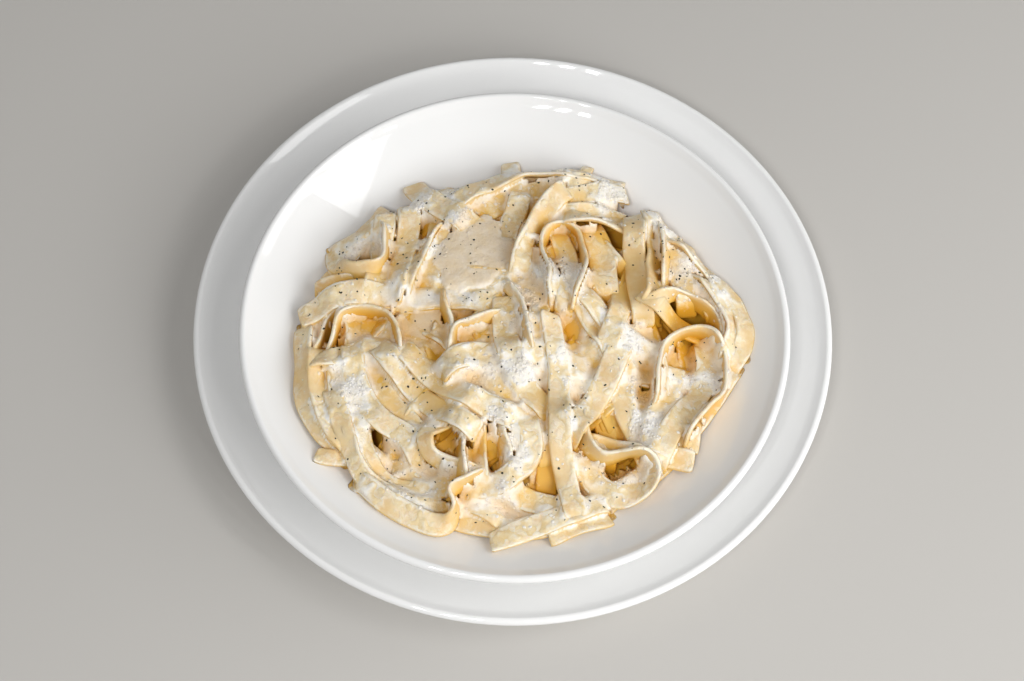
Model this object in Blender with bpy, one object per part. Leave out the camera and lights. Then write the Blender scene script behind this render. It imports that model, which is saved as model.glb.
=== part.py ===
"""Ribbon pasta in a cream sauce, heaped in a white coupe bowl on its white underplate.

The origin is the middle of the underplate's foot, on the table, with +Z up. Blender works in
metres here, and every size below is given in millimetres and turned to metres as a mesh is made.
"""
import math
import random

import bmesh
import bpy
import numpy as np

MM = 0.001
GAP = 0.3                       # air between solids that touch
TURN_SIDES = 44                 # sides of the two turned dishes
LIP_ANGLES = (-55.0, -10.0, 35.0, 80.0, 125.0)  # round a lip from its outside over its top, in degrees
LIP_SHOULDER = 0.3              # a dish's upper face meets its lip this share of the lip's radius down
FOOT_DRAFT = 1.0                # how far a foot ring's inner side leans

# Underplate: a shallow coupe plate that only carries the bowl.
PLATE_RIM_RADIUS = 135.0
PLATE_RIM_HEIGHT = 22.3
PLATE_LIP = 1.8                 # radius of its rounded edge
PLATE_WELL_RADIUS = 80.0
PLATE_WELL_HEIGHT = 7.5
PLATE_WALL = 4.2
PLATE_FOOT = (72.0, 78.0)       # inner and outer radius of the foot ring
PLATE_UNDERSIDE = 2.6           # height of the underside within the foot
PLATE_CURVE = 1.6               # power of the rise from well to rim
PLATE_TOP_RADII = (130.0, 120.0, 107.0, 93.0, PLATE_WELL_RADIUS)
PLATE_UNDER_RADII = (84.0, 104.0, 120.0)

# Bowl: a deeper coupe that stands a little off the plate's middle.
BOWL_SHIFT = (0.7, -11.5)
BOWL_RIM_RADIUS = 113.3
BOWL_RIM_HEIGHT = 42.4
BOWL_LIP = 1.9
BOWL_FLOOR_RADIUS = 40.0
BOWL_FLOOR_HEIGHT = 16.0
BOWL_WALL = 4.0
BOWL_FOOT = (43.0, 48.0)
BOWL_FOOT_BASE = PLATE_WELL_HEIGHT + GAP
BOWL_UNDERSIDE = 11.0
BOWL_CURVE = 1.7
BOWL_TOP_RADII = (107.0, 100.0, 91.0, 80.0, 68.0, 55.0, BOWL_FLOOR_RADIUS)
BOWL_UNDER_RADII = (54.0, 72.0, 88.0, 101.0)

# Heap: a smaller core, and the ribbons of pasta that show, lying on it and on each other.
HEAP_RADIUS = 96.0
HEAP_EDGE_HEIGHT = 34.0
HEAP_CROWN = 16.0               # rise from the heap's edge to its top
HEAP_ROUND = 0.9                # power of that rise
HEAP_OUTLINE = (97, 84, 86, 77, 77, 84, 91, 94, 92, 94, 91, 90)  # reach every 30 degrees from +x
OUTLINE_STEP = 30.0
BOWL_CLEARANCE = 0.6            # least air between the pasta and the bowl

# Core
CORE_DROP = 8.0                 # the core lies this far under the heap's surface
CORE_INSET = 7.0                # and stays this far inside its outline
CORE_EDGE = 1.5                 # its least thickness
CORE_SPOKES = 36
CORE_RINGS = 8
CORE_UNDER_SHARES = (1.0, 0.8, 0.6, 0.4)  # rings of its underside, as shares of its reach
CORE_BUMP = 0.8                 # height of the waves on its top
CORE_BUMP_RATES = (0.31, 0.27)  # radians for each millimetre along x and y
CORE_BUMP_STARTS = (1.0, 0.4)

# Ribbons
RIBBON_WIDTH = 9.75             # cooked tagliatelle
RIBBON_THICKNESS = 1.9
STATION_STEP = 1.5              # spacing of the points where a ribbon settles
SOLID_STEP = 6                  # stations to each facet of a ribbon's solid
CURVE_STEPS = 24                # points read from the curve between two points of a route
TIP_SHARE = 0.8                 # share of the ground's slope that a ribbon tips to
TIP_ROUNDS = 14                 # rounds of smoothing for that slope
SAG_ROUNDS = 30                 # rounds in which a ribbon sags between what holds it up
SAG_STEP = 0.02                 # and how far it sags in each
STIFF_ROUNDS = 3                # rounds that then round off its bends
FEET = 7                        # points across a ribbon that feel the ground
SPOTS = (3, 13)                 # points along and across that mark its top on the height map
PROUD_LIMIT = 1.0               # a ribbon higher than this above the heap's surface
PRESS = 0.6                     # is pressed back by this share of the rest

# Hem: the lowest ribbons, which follow the outline all round
HEM_RIBBONS = 6
HEM_SWEEP = 48.0                # degrees that each of them runs
HEM_JITTER = 6.0                # degrees that its start moves either way
HEM_INSET = (4.0, 7.0)          # how far it lies inside the outline
HEM_WANDER = 3.0                # and how much further its points may go
HEM_POINTS = 4

CELL = 1.0                      # grid of the height map that the ribbons settle on
REACH = 110.0                   # half the side of that map
WELD = 0.000001                 # points this close, in metres, are one after the fusing
SMOOTH_ANGLE = 35.0             # a dish's faces meet smoothly up to this angle

# Ribbons in the order they fell. Each is a route over the bowl seen from above: points x, y in
# millimetres from the bowl's middle, +y to the back, and then the angle in degrees by which the
# ribbon's left edge is raised there, kept to the next point where it isn't given. After the
# route come the width as a share of RIBBON_WIDTH and how far the ribbon sinks between others.
RIBBONS = (
    # Back of the heap
    (((-38, 62), (-30, 60), (-21, 59), (-12, 52)), 0.8, 1),
    (((-3, 69), (-3.5, 77), (-4, 84)), 0.9, 0),
    (((22, 68), (27, 76), (30, 82)), 0.6, 0),
    (((-12, 55), (-2, 61), (9, 65), (21, 67)), 1, 1),
    (((-25, 57, -20), (-14, 65), (-4, 69.5), (8, 72.5), (22, 73), (35, 72.5), (45, 71)), 1, 0),
    (((1, 62), (-1, 53), (-4, 44), (-5, 36)), 1, 0),
    (((14, 57), (22, 60), (31, 63.5), (40, 66), (47, 67)), 1, 0),
    # Left shoulder
    (((-75, 36), (-67, 41), (-61, 48), (-56, 56)), 1, 0),
    (((-84, 15, 50), (-76, 17), (-67, 17), (-57, 16)), 1, 1),
    (((-56, 51), (-56.5, 42), (-57, 33), (-57, 25), (-58, 17)), 1, 0),
    (((-77, 36, 10), (-76, 28, 25), (-71, 21.5, 60), (-64, 19.5, 75), (-58, 21), (-55, 28), (-55, 38)),
     1, 3),
    (((-47, 57, 0), (-46, 47), (-46.5, 37), (-47.5, 27, 30), (-49, 17, 50)), 1, 1),
    (((-33, 45), (-34, 34), (-35, 25), (-38, 16)), 1, 0),
    (((-35, 43, 50), (-39, 34), (-42, 26), (-45, 16)), 0.8, 4),
    (((-46, 71), (-41, 62), (-33, 54), (-24, 48), (-15, 42)), 1.1, 0),
    (((-83, 12, 30), (-72, 13), (-62, 14), (-50, 15)), 0.7, 1),
    # Left side and the pocket beside it
    (((-67, 3, -20), (-66, -7), (-66, -18)), 0.9, 2),
    (((-60, 0), (-60, -9), (-60, -18)), 0.8, 2),
    (((-42, 5), (-40, -5), (-36, -18)), 1, 2),
    (((-87, -3, 35), (-86.5, -16), (-85, -30), (-82, -41), (-76, -50), (-68, -57)), 1, 0),
    (((-78, -60), (-70, -61), (-62, -60)), 0.7, 1),
    (((-81, -14, 70), (-78.5, -4), (-76, 1), (-71, 4.5), (-62, 5)), 0.9, 4),
    (((-76, -17, 80), (-74, -6), (-72, 0), (-67, 3), (-60, 3.5), (-53, 2), (-50, -3), (-48, -10),
      (-46, -18)), 1, 4),
    (((-89, 1), (-82, 4.5), (-73, 9, 25), (-62, 10, 15), (-50, 8.5, 0), (-38, 8.5), (-26, 9), (-13, 8)),
     1.1, 0),
    # Lower left
    (((-80, -18), (-79, -30), (-76, -40), (-71, -50), (-64, -57)), 1, 1),
    (((-72, -22), (-70, -34), (-66, -45), (-62, -54), (-54, -62)), 1, 0),
    (((-44, -48), (-43, -58), (-42, -67), (-35, -74)), 1, 1),
    (((-60, -46), (-58, -57), (-54, -66), (-46, -72), (-36, -74)), 0.8, 0),
    (((-72, -36, 15), (-68, -48), (-64, -59), (-58, -69), (-49, -76), (-38, -81), (-29, -82)), 0.9, 0),
    (((-80, -20), (-71, -18), (-62, -14), (-53, -13)), 0.9, 0),
    (((-57, -15), (-55, -28), (-50, -37), (-42, -46), (-34, -56)), 1.1, 0),
    (((-66, -16), (-64, -27), (-59, -38), (-52, -46), (-42, -52), (-36, -61)), 1, 0),
    # Bottom edge
    (((16, -92), (25, -87), (34, -84), (40, -82)), 0.8, 1),
    (((-22, -75), (-15, -79), (-6, -84)), 0.7, 0),
    (((-30, -73), (-20, -70), (-9, -70), (2, -74), (10, -77), (20, -79)), 1, 0),
    (((-57, -73, 20), (-48, -80), (-39, -85), (-30, -88.5), (-23.5, -88, 60), (-21, -82, 80), (-23, -76),
      (-18, -72)), 1, 0),
    (((-7, -95), (3, -90.5), (13, -86.5), (24, -82), (34, -77)), 1, 0),
    # Coil and the strips beside it
    (((-30, -57), (-25, -54), (-21, -49)), 0.5, 0),
    (((-19, -45, 40), (-27, -48), (-34, -52), (-33, -59), (-27, -63), (-18, -66)), 0.8, 0),
    (((-21, -45, 75), (-20, -56), (-19, -67)), 0.8, 3),
    (((-14, -44, 30), (-13, -55), (-12, -67)), 0.8, 1),
    (((-5, -49, 50), (-2, -58), (-3, -67)), 0.8, 1),
    # Lower right
    (((73, -37), (73, -45), (72, -53)), 0.7, 0),
    (((66, -38), (67, -45), (66, -52)), 0.7, 1),
    (((73, -58), (64, -56), (55, -53)), 1, 0),
    (((36, -39), (38, -47), (38, -55)), 0.9, 2),
    (((47, -12), (45, -24), (45, -36), (50, -47), (54, -56)), 1.05, 0),
    (((66, -17), (64, -26), (60, -35), (57, -44), (57, -55)), 1, 0),
    (((79, -8), (79, -18), (76, -28), (70, -36), (64, -45), (60, -55)), 1, 0),
    (((33, -52, 40), (43, -54), (55, -56)), 0.7, 1),
    (((28, -46, 60), (30, -54), (36, -59, 75), (44, -58, 80), (52, -57.5), (56.5, -60.5), (56, -66, 50),
      (51, -71, 20), (43, -73.5, 0), (35, -69), (29, -61), (23, -51)), 1, 1),
    # Middle, from the pocket across to the right
    (((-24, -27), (-16, -27), (-8, -30), (-1, -36)), 1, 0),
    (((-54, -15), (-47, -24), (-39, -33), (-30, -41), (-21, -47)), 1, 0),
    (((-42, -18), (-32, -27), (-21, -35), (-9, -41), (3, -46), (11, -51), (15, -58)), 1.1, 0),
    (((7, -48), (8, -57), (4, -65), (-4, -71), (-14, -73)), 0.95, 0),
    (((-29, 4, 75), (-26.5, -6), (-25.5, -14), (-27, -23)), 0.8, 3),
    (((-25, -16, 70), (-24, -6), (-18, -3), (-11, 0)), 0.8, 2),
    (((4, 3, 20), (5, -6), (6, -15)), 0.8, 1),
    (((-27, -24), (-18, -18.5), (-7, -17.5), (4, -18), (15, -19), (27, -20)), 1.2, 0),
    (((20, 6, 30), (24, -3), (29, -12), (34, -20)), 0.9, 3),
    (((11, 9), (9.5, 2), (8, -6), (7.5, -15)), 0.95, 0),
    (((-5, 10), (-4.5, 0), (-3.5, -10), (0, -21), (5, -31), (13, -39)), 1.05, 0),
    (((-13, 26), (-4, 20), (5, 15.5), (14, 13.5), (24, 10), (34, 6)), 1, 0),
    (((-3, 14, 60), (1, 8), (3.5, 0), (5, -9)), 0.6, 2),
    (((26, 8), (32, -3), (38, -12), (45, -20)), 0.9, 0),
    (((42, -15), (38, -25), (33, -35), (28, -44), (22, -52)), 1.05, 0),
    (((14, 1), (16, -11), (18, -22), (18.5, -33), (19, -44), (19.5, -55), (22, -67), (25, -80)), 0.95, 0),
    (((31, 7), (39, -2), (48, -8), (57, -13)), 1, 0),
    (((45, 21), (44, 11), (42, 2), (39, -7)), 1, 0),
    # Nest at the upper right
    (((4, 33), (8, 26), (13, 19), (20, 13)), 1, 0),
    (((17, 52), (26, 53), (36, 53.5), (46, 51), (53, 46)), 0.9, 0),
    (((31, 45), (35, 36), (36, 27), (37, 17)), 1.2, 0),
    (((21, 11), (22, 20), (21, 30), (18, 40)), 0.9, 0),
    (((2, 27, 40), (3.5, 36), (7, 45), (12, 53), (17, 59)), 1, 0),
    (((24, 49, -50), (33, 48.5), (42, 47), (51, 43)), 0.8, 1),
    (((16, 13, 50), (13, 25, 70), (10.5, 34, 80), (13, 43), (19, 46.5), (25, 43), (27.5, 34), (27.5, 24),
      (25, 13)), 0.9, 3),
    # Right shoulder
    (((49, 52, 30), (49, 38), (50, 24), (52, 8)), 1, 0),
    (((72, 38, -25), (74, 28), (77, 20), (81, 13)), 1, 0),
    (((66, 46, -25), (67, 34), (68, 24), (70, 15)), 1, 0),
    (((56, 58, -20), (57, 44), (57.5, 30), (57, 17), (55, 6)), 1, 0),
    (((61, 48, -60), (62.5, 36), (62, 24), (61.5, 14), (58, 4)), 0.8, 3),
    (((60, 7), (67, 3), (75, 0), (83, -2)), 0.8, 1),
    (((70, 36, -30), (77, 30), (85, 22), (91.5, 13), (95, 3), (94, -6), (90, -13)), 0.9, 0),
    (((76, 24, -60), (82, 17), (87, 9), (89, 1), (88, -7)), 0.8, 2),
    (((61, 11, 50), (67, 14), (75, 12.5), (81.5, 8), (84, 1), (82, -5)), 0.9, 2),
    (((59, -26, 80), (60, -14), (64, -6), (70, -1.5), (78, -1), (84, -6), (86.5, -14), (85.5, -24),
      (80, -34), (74, -42)), 1, 3),
)

PORCELAIN = (0.86, 0.86, 0.84, 1.0)
PASTA = (0.84, 0.66, 0.38, 1.0)


def clear_scene():
    for item in list(bpy.data.objects):
        bpy.data.objects.remove(item, do_unlink=True)


def glazed_or_cooked(name, colour, roughness):
    """One Principled material, for glazed porcelain or for sauced pasta."""
    material = bpy.data.materials.new(name)
    material.use_nodes = True
    shader = material.node_tree.nodes["Principled BSDF"]
    shader.inputs["Base Color"].default_value = colour
    shader.inputs["Roughness"].default_value = roughness
    shader.inputs["Metallic"].default_value = 0.0
    return material


def add_object(name, bm, material):
    mesh = bpy.data.meshes.new(name)
    bm.to_mesh(mesh)
    bm.free()
    mesh.materials.append(material)
    item = bpy.data.objects.new(name, mesh)
    bpy.context.scene.collection.objects.link(item)
    return item


# Dishes

def coupe_height(radius, floor_radius, floor, rim_radius, rim, power):
    """Height of a coupe's upper face: a flat floor that curves up to the rim."""
    share = np.clip((radius - floor_radius) / (rim_radius - floor_radius), 0.0, 1.0)
    return floor + (rim - floor) * share ** power


def bowl_inside(radius):
    lip_middle = BOWL_RIM_RADIUS - BOWL_LIP
    return coupe_height(radius, BOWL_FLOOR_RADIUS, BOWL_FLOOR_HEIGHT, lip_middle,
                        BOWL_RIM_HEIGHT - BOWL_LIP * LIP_SHOULDER, BOWL_CURVE)


def plate_inside(radius):
    lip_middle = PLATE_RIM_RADIUS - PLATE_LIP
    return coupe_height(radius, PLATE_WELL_RADIUS, PLATE_WELL_HEIGHT, lip_middle,
                        PLATE_RIM_HEIGHT - PLATE_LIP * LIP_SHOULDER, PLATE_CURVE)


def lip_points(radius, height, lip):
    """The rounded edge, from the outside over the top to its inner shoulder."""
    middle_r = radius - lip
    middle_z = height - lip
    return [(middle_r + lip * math.cos(math.radians(angle)),
             middle_z + lip * math.sin(math.radians(angle))) for angle in LIP_ANGLES]


def turned(name, profile, centre, material):
    """A closed solid of revolution from an outline that starts and ends on the axis."""
    bm = bmesh.new()
    rings = []
    for radius, height in profile:
        if radius < 1e-6:
            rings.append([bm.verts.new((centre[0] * MM, centre[1] * MM, height * MM))])
            continue
        ring = []
        for side in range(TURN_SIDES):
            angle = 2.0 * math.pi * side / TURN_SIDES
            ring.append(bm.verts.new(((centre[0] + radius * math.cos(angle)) * MM,
                                      (centre[1] + radius * math.sin(angle)) * MM,
                                      height * MM)))
        rings.append(ring)
    for low, high in zip(rings, rings[1:]):
        for side in range(TURN_SIDES):
            after = (side + 1) % TURN_SIDES
            if len(low) == 1:
                bm.faces.new((low[0], high[after], high[side]))
            elif len(high) == 1:
                bm.faces.new((low[side], low[after], high[0]))
            else:
                bm.faces.new((low[side], low[after], high[after], high[side]))
    bmesh.ops.recalc_face_normals(bm, faces=bm.faces)
    item = add_object(name, bm, material)
    item.data.shade_smooth()
    item.data.set_sharp_from_angle(angle=math.radians(SMOOTH_ANGLE))
    return item


def make_underplate(material):
    profile = [(0.0, PLATE_UNDERSIDE), (PLATE_FOOT[0] - FOOT_DRAFT, PLATE_UNDERSIDE),
               (PLATE_FOOT[0], 0.0), (PLATE_FOOT[1], 0.0)]
    for radius in PLATE_UNDER_RADII:
        profile.append((radius, float(plate_inside(radius)) - PLATE_WALL))
    profile += lip_points(PLATE_RIM_RADIUS, PLATE_RIM_HEIGHT, PLATE_LIP)
    for radius in PLATE_TOP_RADII:
        profile.append((radius, float(plate_inside(radius))))
    profile.append((0.0, PLATE_WELL_HEIGHT))
    turned("underplate", profile, (0.0, 0.0), material)


def make_bowl(material):
    profile = [(0.0, BOWL_UNDERSIDE), (BOWL_FOOT[0] - FOOT_DRAFT, BOWL_UNDERSIDE),
               (BOWL_FOOT[0], BOWL_FOOT_BASE), (BOWL_FOOT[1], BOWL_FOOT_BASE)]
    for radius in BOWL_UNDER_RADII:
        slope = float(bowl_inside(radius + 0.5) - bowl_inside(radius - 0.5))
        wall = BOWL_WALL * math.hypot(1.0, slope)
        profile.append((radius, float(bowl_inside(radius)) - wall))
    profile += lip_points(BOWL_RIM_RADIUS, BOWL_RIM_HEIGHT, BOWL_LIP)
    for radius in BOWL_TOP_RADII:
        profile.append((radius, float(bowl_inside(radius))))
    profile.append((0.0, BOWL_FLOOR_HEIGHT))
    turned("bowl", profile, BOWL_SHIFT, material)


# Heap

def heap_surface(x, y):
    """Height that the top of the heap keeps to, over the bowl seen from above."""
    share = np.clip(1.0 - (x * x + y * y) / HEAP_RADIUS ** 2, 0.0, 1.0)
    return HEAP_EDGE_HEIGHT + HEAP_CROWN * share ** HEAP_ROUND


def outline_radius(angle):
    """How far the heap reaches from the bowl's middle in one direction."""
    place = (math.degrees(angle) % 360.0) / OUTLINE_STEP
    before = int(place) % len(HEAP_OUTLINE)
    after = (before + 1) % len(HEAP_OUTLINE)
    share = 0.5 - 0.5 * math.cos(math.pi * (place - int(place)))
    return HEAP_OUTLINE[before] * (1.0 - share) + HEAP_OUTLINE[after] * share


def core_radius(angle):
    return outline_radius(angle) - CORE_INSET


def core_top(x, y):
    bump = (np.sin(x * CORE_BUMP_RATES[0] + CORE_BUMP_STARTS[0])
            * np.sin(y * CORE_BUMP_RATES[1] + CORE_BUMP_STARTS[1]))
    return heap_surface(x, y) - CORE_DROP + CORE_BUMP * bump


def make_core():
    """A cushion of pasta, in rings from its top to its underside, clear of the bowl."""
    bm = bmesh.new()
    levels = [("top", ring / CORE_RINGS) for ring in range(1, CORE_RINGS + 1)]
    levels += [("under", share) for share in CORE_UNDER_SHARES]
    crown = bm.verts.new((0.0, 0.0, float(core_top(0.0, 0.0))))
    foot = bm.verts.new((0.0, 0.0, BOWL_FLOOR_HEIGHT + BOWL_CLEARANCE))
    rings = []
    for kind, share in levels:
        ring = []
        for spoke in range(CORE_SPOKES):
            angle = 2.0 * math.pi * spoke / CORE_SPOKES
            radius = core_radius(angle) * share
            x = radius * math.cos(angle)
            y = radius * math.sin(angle)
            rest = float(bowl_inside(radius)) + BOWL_CLEARANCE
            height = rest
            if kind == "top":
                height = max(float(core_top(x, y)), rest + CORE_EDGE)
            ring.append(bm.verts.new((x, y, height)))
        rings.append(ring)
    for upper, lower in zip(rings, rings[1:]):
        for spoke in range(CORE_SPOKES):
            after = (spoke + 1) % CORE_SPOKES
            bm.faces.new((upper[spoke], lower[spoke], lower[after], upper[after]))
    for spoke in range(CORE_SPOKES):
        after = (spoke + 1) % CORE_SPOKES
        bm.faces.new((crown, rings[0][spoke], rings[0][after]))
        bm.faces.new((foot, rings[-1][after], rings[-1][spoke]))
    return bm


class HeightMap:
    """What a ribbon falls on: the highest surface so far, on a square grid."""

    def __init__(self):
        count = int(2 * REACH / CELL) + 1
        line = np.linspace(-REACH, REACH, count)
        x, y = np.meshgrid(line, line)
        self.height = bowl_inside(np.hypot(x, y)) + BOWL_CLEARANCE
        radius = np.vectorize(core_radius)(np.arctan2(y, x))
        inside = np.hypot(x, y) < radius
        self.height = np.where(inside, np.maximum(self.height, core_top(x, y)), self.height)

    def cells(self, x, y):
        last = self.height.shape[0] - 1
        column = np.clip(np.rint((x + REACH) / CELL).astype(int), 0, last)
        row = np.clip(np.rint((y + REACH) / CELL).astype(int), 0, last)
        return row, column

    def read(self, x, y):
        return self.height[self.cells(x, y)]

    def raise_to(self, x, y, z):
        np.maximum.at(self.height, self.cells(x, y), z)


def hem_routes():
    """Routes of the lowest ribbons, spread evenly round the heap's edge."""
    draw = random.Random(4)
    routes = []
    for number in range(HEM_RIBBONS):
        start = 360.0 * number / HEM_RIBBONS + draw.uniform(-HEM_JITTER, HEM_JITTER)
        inset = draw.uniform(*HEM_INSET)
        points = []
        for step in range(HEM_POINTS):
            angle = math.radians(start + HEM_SWEEP * step / (HEM_POINTS - 1))
            radius = outline_radius(angle) - inset - draw.uniform(0.0, HEM_WANDER)
            points.append((radius * math.cos(angle), radius * math.sin(angle)))
        routes.append((tuple(points), 1, 0))
    return routes


def fill_angles(points):
    """Give each point of a route its angle: the last one stated before it."""
    angle = 0.0
    filled = []
    for point in points:
        if len(point) == 3:
            angle = point[2]
        filled.append((point[0], point[1], angle))
    return np.array(filled, dtype=float)


def smooth_route(points):
    """Stations at equal steps along a smooth curve through the route's points."""
    knots = fill_angles(points)
    ends = np.vstack([2 * knots[0] - knots[1], knots, 2 * knots[-1] - knots[-2]])
    dense = []
    for before, start, end, after in zip(ends, ends[1:], ends[2:], ends[3:]):
        for t in np.linspace(0.0, 1.0, CURVE_STEPS, endpoint=False):
            dense.append(0.5 * (2 * start + (end - before) * t
                                + (2 * before - 5 * start + 4 * end - after) * t * t
                                + (3 * start - before - 3 * end + after) * t ** 3))
    dense = np.array(dense + [knots[-1]])
    steps = np.hypot(*np.diff(dense[:, :2], axis=0).T)
    travelled = np.concatenate([[0.0], np.cumsum(steps)])
    count = max(4, int(round(travelled[-1] / STATION_STEP)))
    wanted = np.linspace(0.0, travelled[-1], count + 1)
    return np.stack([np.interp(wanted, travelled, dense[:, axis]) for axis in range(3)], axis=1)


def smoothed(values, rounds):
    for _ in range(rounds):
        inner = 0.25 * values[:-2] + 0.5 * values[1:-1] + 0.25 * values[2:]
        values = np.concatenate([[values[0]], inner, [values[-1]]])
    return values


def leftward(route):
    """Unit vectors to the left of a route, seen from above."""
    forward = np.gradient(route[:, :2], axis=0)
    forward /= np.linalg.norm(forward, axis=1)[:, None]
    return np.stack([-forward[:, 1], forward[:, 0]], axis=1)


def bank_of(route, left, width, ground):
    """Each station's bank in radians: the stated angle, and a tip to the slope of the ground."""
    half = left * width / 2
    low = ground.read(route[:, 0] - half[:, 0], route[:, 1] - half[:, 1])
    high = ground.read(route[:, 0] + half[:, 0], route[:, 1] + half[:, 1])
    stated = np.radians(route[:, 2])
    tip = smoothed(np.arctan2(high - low, width), TIP_ROUNDS) * np.cos(stated)
    return stated + TIP_SHARE * tip


def resting_height(route, left, bank, width, sink, ground):
    """Height of the ribbon's middle at each station: on the ground, stiff, and not too proud."""
    across = np.linspace(-0.5, 0.5, FEET) * width
    foot_x = route[:, :1] + left[:, :1] * across * np.cos(bank)[:, None]
    foot_y = route[:, 1:2] + left[:, 1:] * across * np.cos(bank)[:, None]
    rise = across * np.sin(bank)[:, None]
    need = (ground.read(foot_x, foot_y) - rise).max(axis=1) + RIBBON_THICKNESS / 2 - sink
    middle = need
    for _ in range(SAG_ROUNDS):
        middle = np.maximum(need, smoothed(middle, 1) - SAG_STEP)
    middle = smoothed(middle, STIFF_ROUNDS)
    proud = middle - heap_surface(route[:, 0], route[:, 1]) - PROUD_LIMIT
    return middle - PRESS * np.maximum(proud, 0.0)


def mark_top(centre, side, up, width, ground):
    """Raise the height map to the upper face of a ribbon that has settled."""
    along, across = SPOTS
    rows = []
    for step in np.linspace(0.0, 1.0, along, endpoint=False):
        between = centre[:-1] * (1 - step) + centre[1:] * step
        for share in np.linspace(-0.5, 0.5, across):
            rows.append(between + side[:-1] * share * width + up[:-1] * RIBBON_THICKNESS / 2)
    spots = np.concatenate(rows)
    ground.raise_to(spots[:, 0], spots[:, 1], spots[:, 2])


def settle(points, width, sink, ground):
    """Lay one ribbon on the height map, and return its four edges along its length."""
    route = smooth_route(points)
    left = leftward(route)
    bank = bank_of(route, left, width, ground)
    middle = resting_height(route, left, bank, width, sink, ground)
    side = np.stack([left[:, 0] * np.cos(bank), left[:, 1] * np.cos(bank), np.sin(bank)], axis=1)
    up = np.stack([-left[:, 0] * np.sin(bank), -left[:, 1] * np.sin(bank), np.cos(bank)], axis=1)
    centre = np.stack([route[:, 0], route[:, 1], middle], axis=1)
    mark_top(centre, side, up, width, ground)
    half_side = side * width / 2
    half_up = up * RIBBON_THICKNESS / 2
    return [centre + half_side + half_up, centre - half_side + half_up,
            centre - half_side - half_up, centre + half_side - half_up]


def above_bowl(point):
    """Lift a corner of a ribbon that would reach the bowl."""
    rest = float(bowl_inside(math.hypot(point[0], point[1]))) + BOWL_CLEARANCE
    return (point[0], point[1], max(point[2], rest))


def make_ribbon(edges):
    """A faceted ribbon through every few stations of its four edges."""
    bm = bmesh.new()
    last = len(edges[0]) - 1
    count = max(2, round(last / SOLID_STEP))
    stations = [round(last * i / count) for i in range(count + 1)]
    rings = []
    for station in stations:
        rings.append([bm.verts.new(above_bowl(edge[station])) for edge in edges])
    for first, second in zip(rings, rings[1:]):
        for corner in range(4):
            after = (corner + 1) % 4
            bm.faces.new((first[corner], first[after], second[after], second[corner]))
    bm.faces.new(rings[0][::-1])
    bm.faces.new(rings[-1])
    bmesh.ops.recalc_face_normals(bm, faces=bm.faces)
    return bm


def in_bowl(bm):
    """Move a shape from the bowl's own millimetres to its place in metres."""
    for vert in bm.verts:
        vert.co.x = (vert.co.x + BOWL_SHIFT[0]) * MM
        vert.co.y = (vert.co.y + BOWL_SHIFT[1]) * MM
        vert.co.z = vert.co.z * MM
    return bm


def island_volume(faces):
    """Signed volume of one closed shell: a sealed hollow's is negative."""
    total = 0.0
    for face in faces:
        first = face.verts[0].co
        for one, two in zip(face.verts[1:], face.verts[2:]):
            total += first.dot(one.co.cross(two.co)) / 6.0
    return total


def islands(bm):
    left = set(bm.faces)
    while left:
        seed = left.pop()
        group = [seed]
        front = [seed]
        while front:
            face = front.pop()
            for edge in face.edges:
                for other in edge.link_faces:
                    if other in left:
                        left.remove(other)
                        group.append(other)
                        front.append(other)
        yield group


def keep_outer_shell(item):
    """Fill sealed hollows and drop loose scraps: only the largest shell stays."""
    bm = bmesh.new()
    bm.from_mesh(item.data)
    bmesh.ops.remove_doubles(bm, verts=bm.verts, dist=WELD)
    bmesh.ops.dissolve_degenerate(bm, edges=bm.edges, dist=WELD)
    bmesh.ops.triangulate(bm, faces=bm.faces)
    groups = sorted(islands(bm), key=island_volume, reverse=True)
    extra = [face for group in groups[1:] for face in group]
    bmesh.ops.delete(bm, geom=extra, context="FACES")
    bm.to_mesh(item.data)
    bm.free()


def lay_strands(material):
    """Let every ribbon fall in its turn, and gather them in one collection."""
    ground = HeightMap()
    strands = bpy.data.collections.new("strands")
    bpy.context.scene.collection.children.link(strands)
    for number, (points, share, sink) in enumerate(hem_routes() + list(RIBBONS)):
        edges = settle(points, RIBBON_WIDTH * share, sink, ground)
        ribbon = add_object("strand_%02d" % number, in_bowl(make_ribbon(edges)), material)
        bpy.context.scene.collection.objects.unlink(ribbon)
        strands.objects.link(ribbon)
    return strands


def make_heap(material):
    """Fuse the ribbons and the core with one union on a collection."""
    core = add_object("tagliatelle", in_bowl(make_core()), material)
    strands = lay_strands(material)
    union = core.modifiers.new("fuse", "BOOLEAN")
    union.operation = "UNION"
    union.operand_type = "COLLECTION"
    union.collection = strands
    union.solver = "MANIFOLD"
    bpy.context.view_layer.objects.active = core
    core.select_set(True)
    bpy.ops.object.modifier_apply(modifier=union.name)
    for ribbon in list(strands.objects):
        bpy.data.objects.remove(ribbon, do_unlink=True)
    bpy.data.collections.remove(strands)
    keep_outer_shell(core)


def main():
    clear_scene()
    porcelain = glazed_or_cooked("glazed_porcelain", PORCELAIN, 0.12)
    pasta = glazed_or_cooked("sauced_pasta", PASTA, 0.4)
    make_underplate(porcelain)
    make_bowl(porcelain)
    make_heap(pasta)


main()
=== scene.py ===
# %% [markdown]
# # Ribbon pasta in cheese sauce, in its bowl on its underplate
#
# Each step below adds one piece or one finish of the real dish: the two porcelain dishes, the
# ribbons of pasta, the sauce that clings to them and the herb flecks. The solid model of the same
# dish is loaded first, as a fixed frame, and every piece is made in that frame, so a ribbon lies
# where the solid ribbon lies. Sizes are written in millimetres, as a maker would measure them, and
# are turned to metres only as a mesh is made.

# %% Load the solid model as the frame
import math
import random

import bpy
import numpy as np
from mathutils import Matrix, Vector
from mathutils.bvhtree import BVHTree


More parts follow.
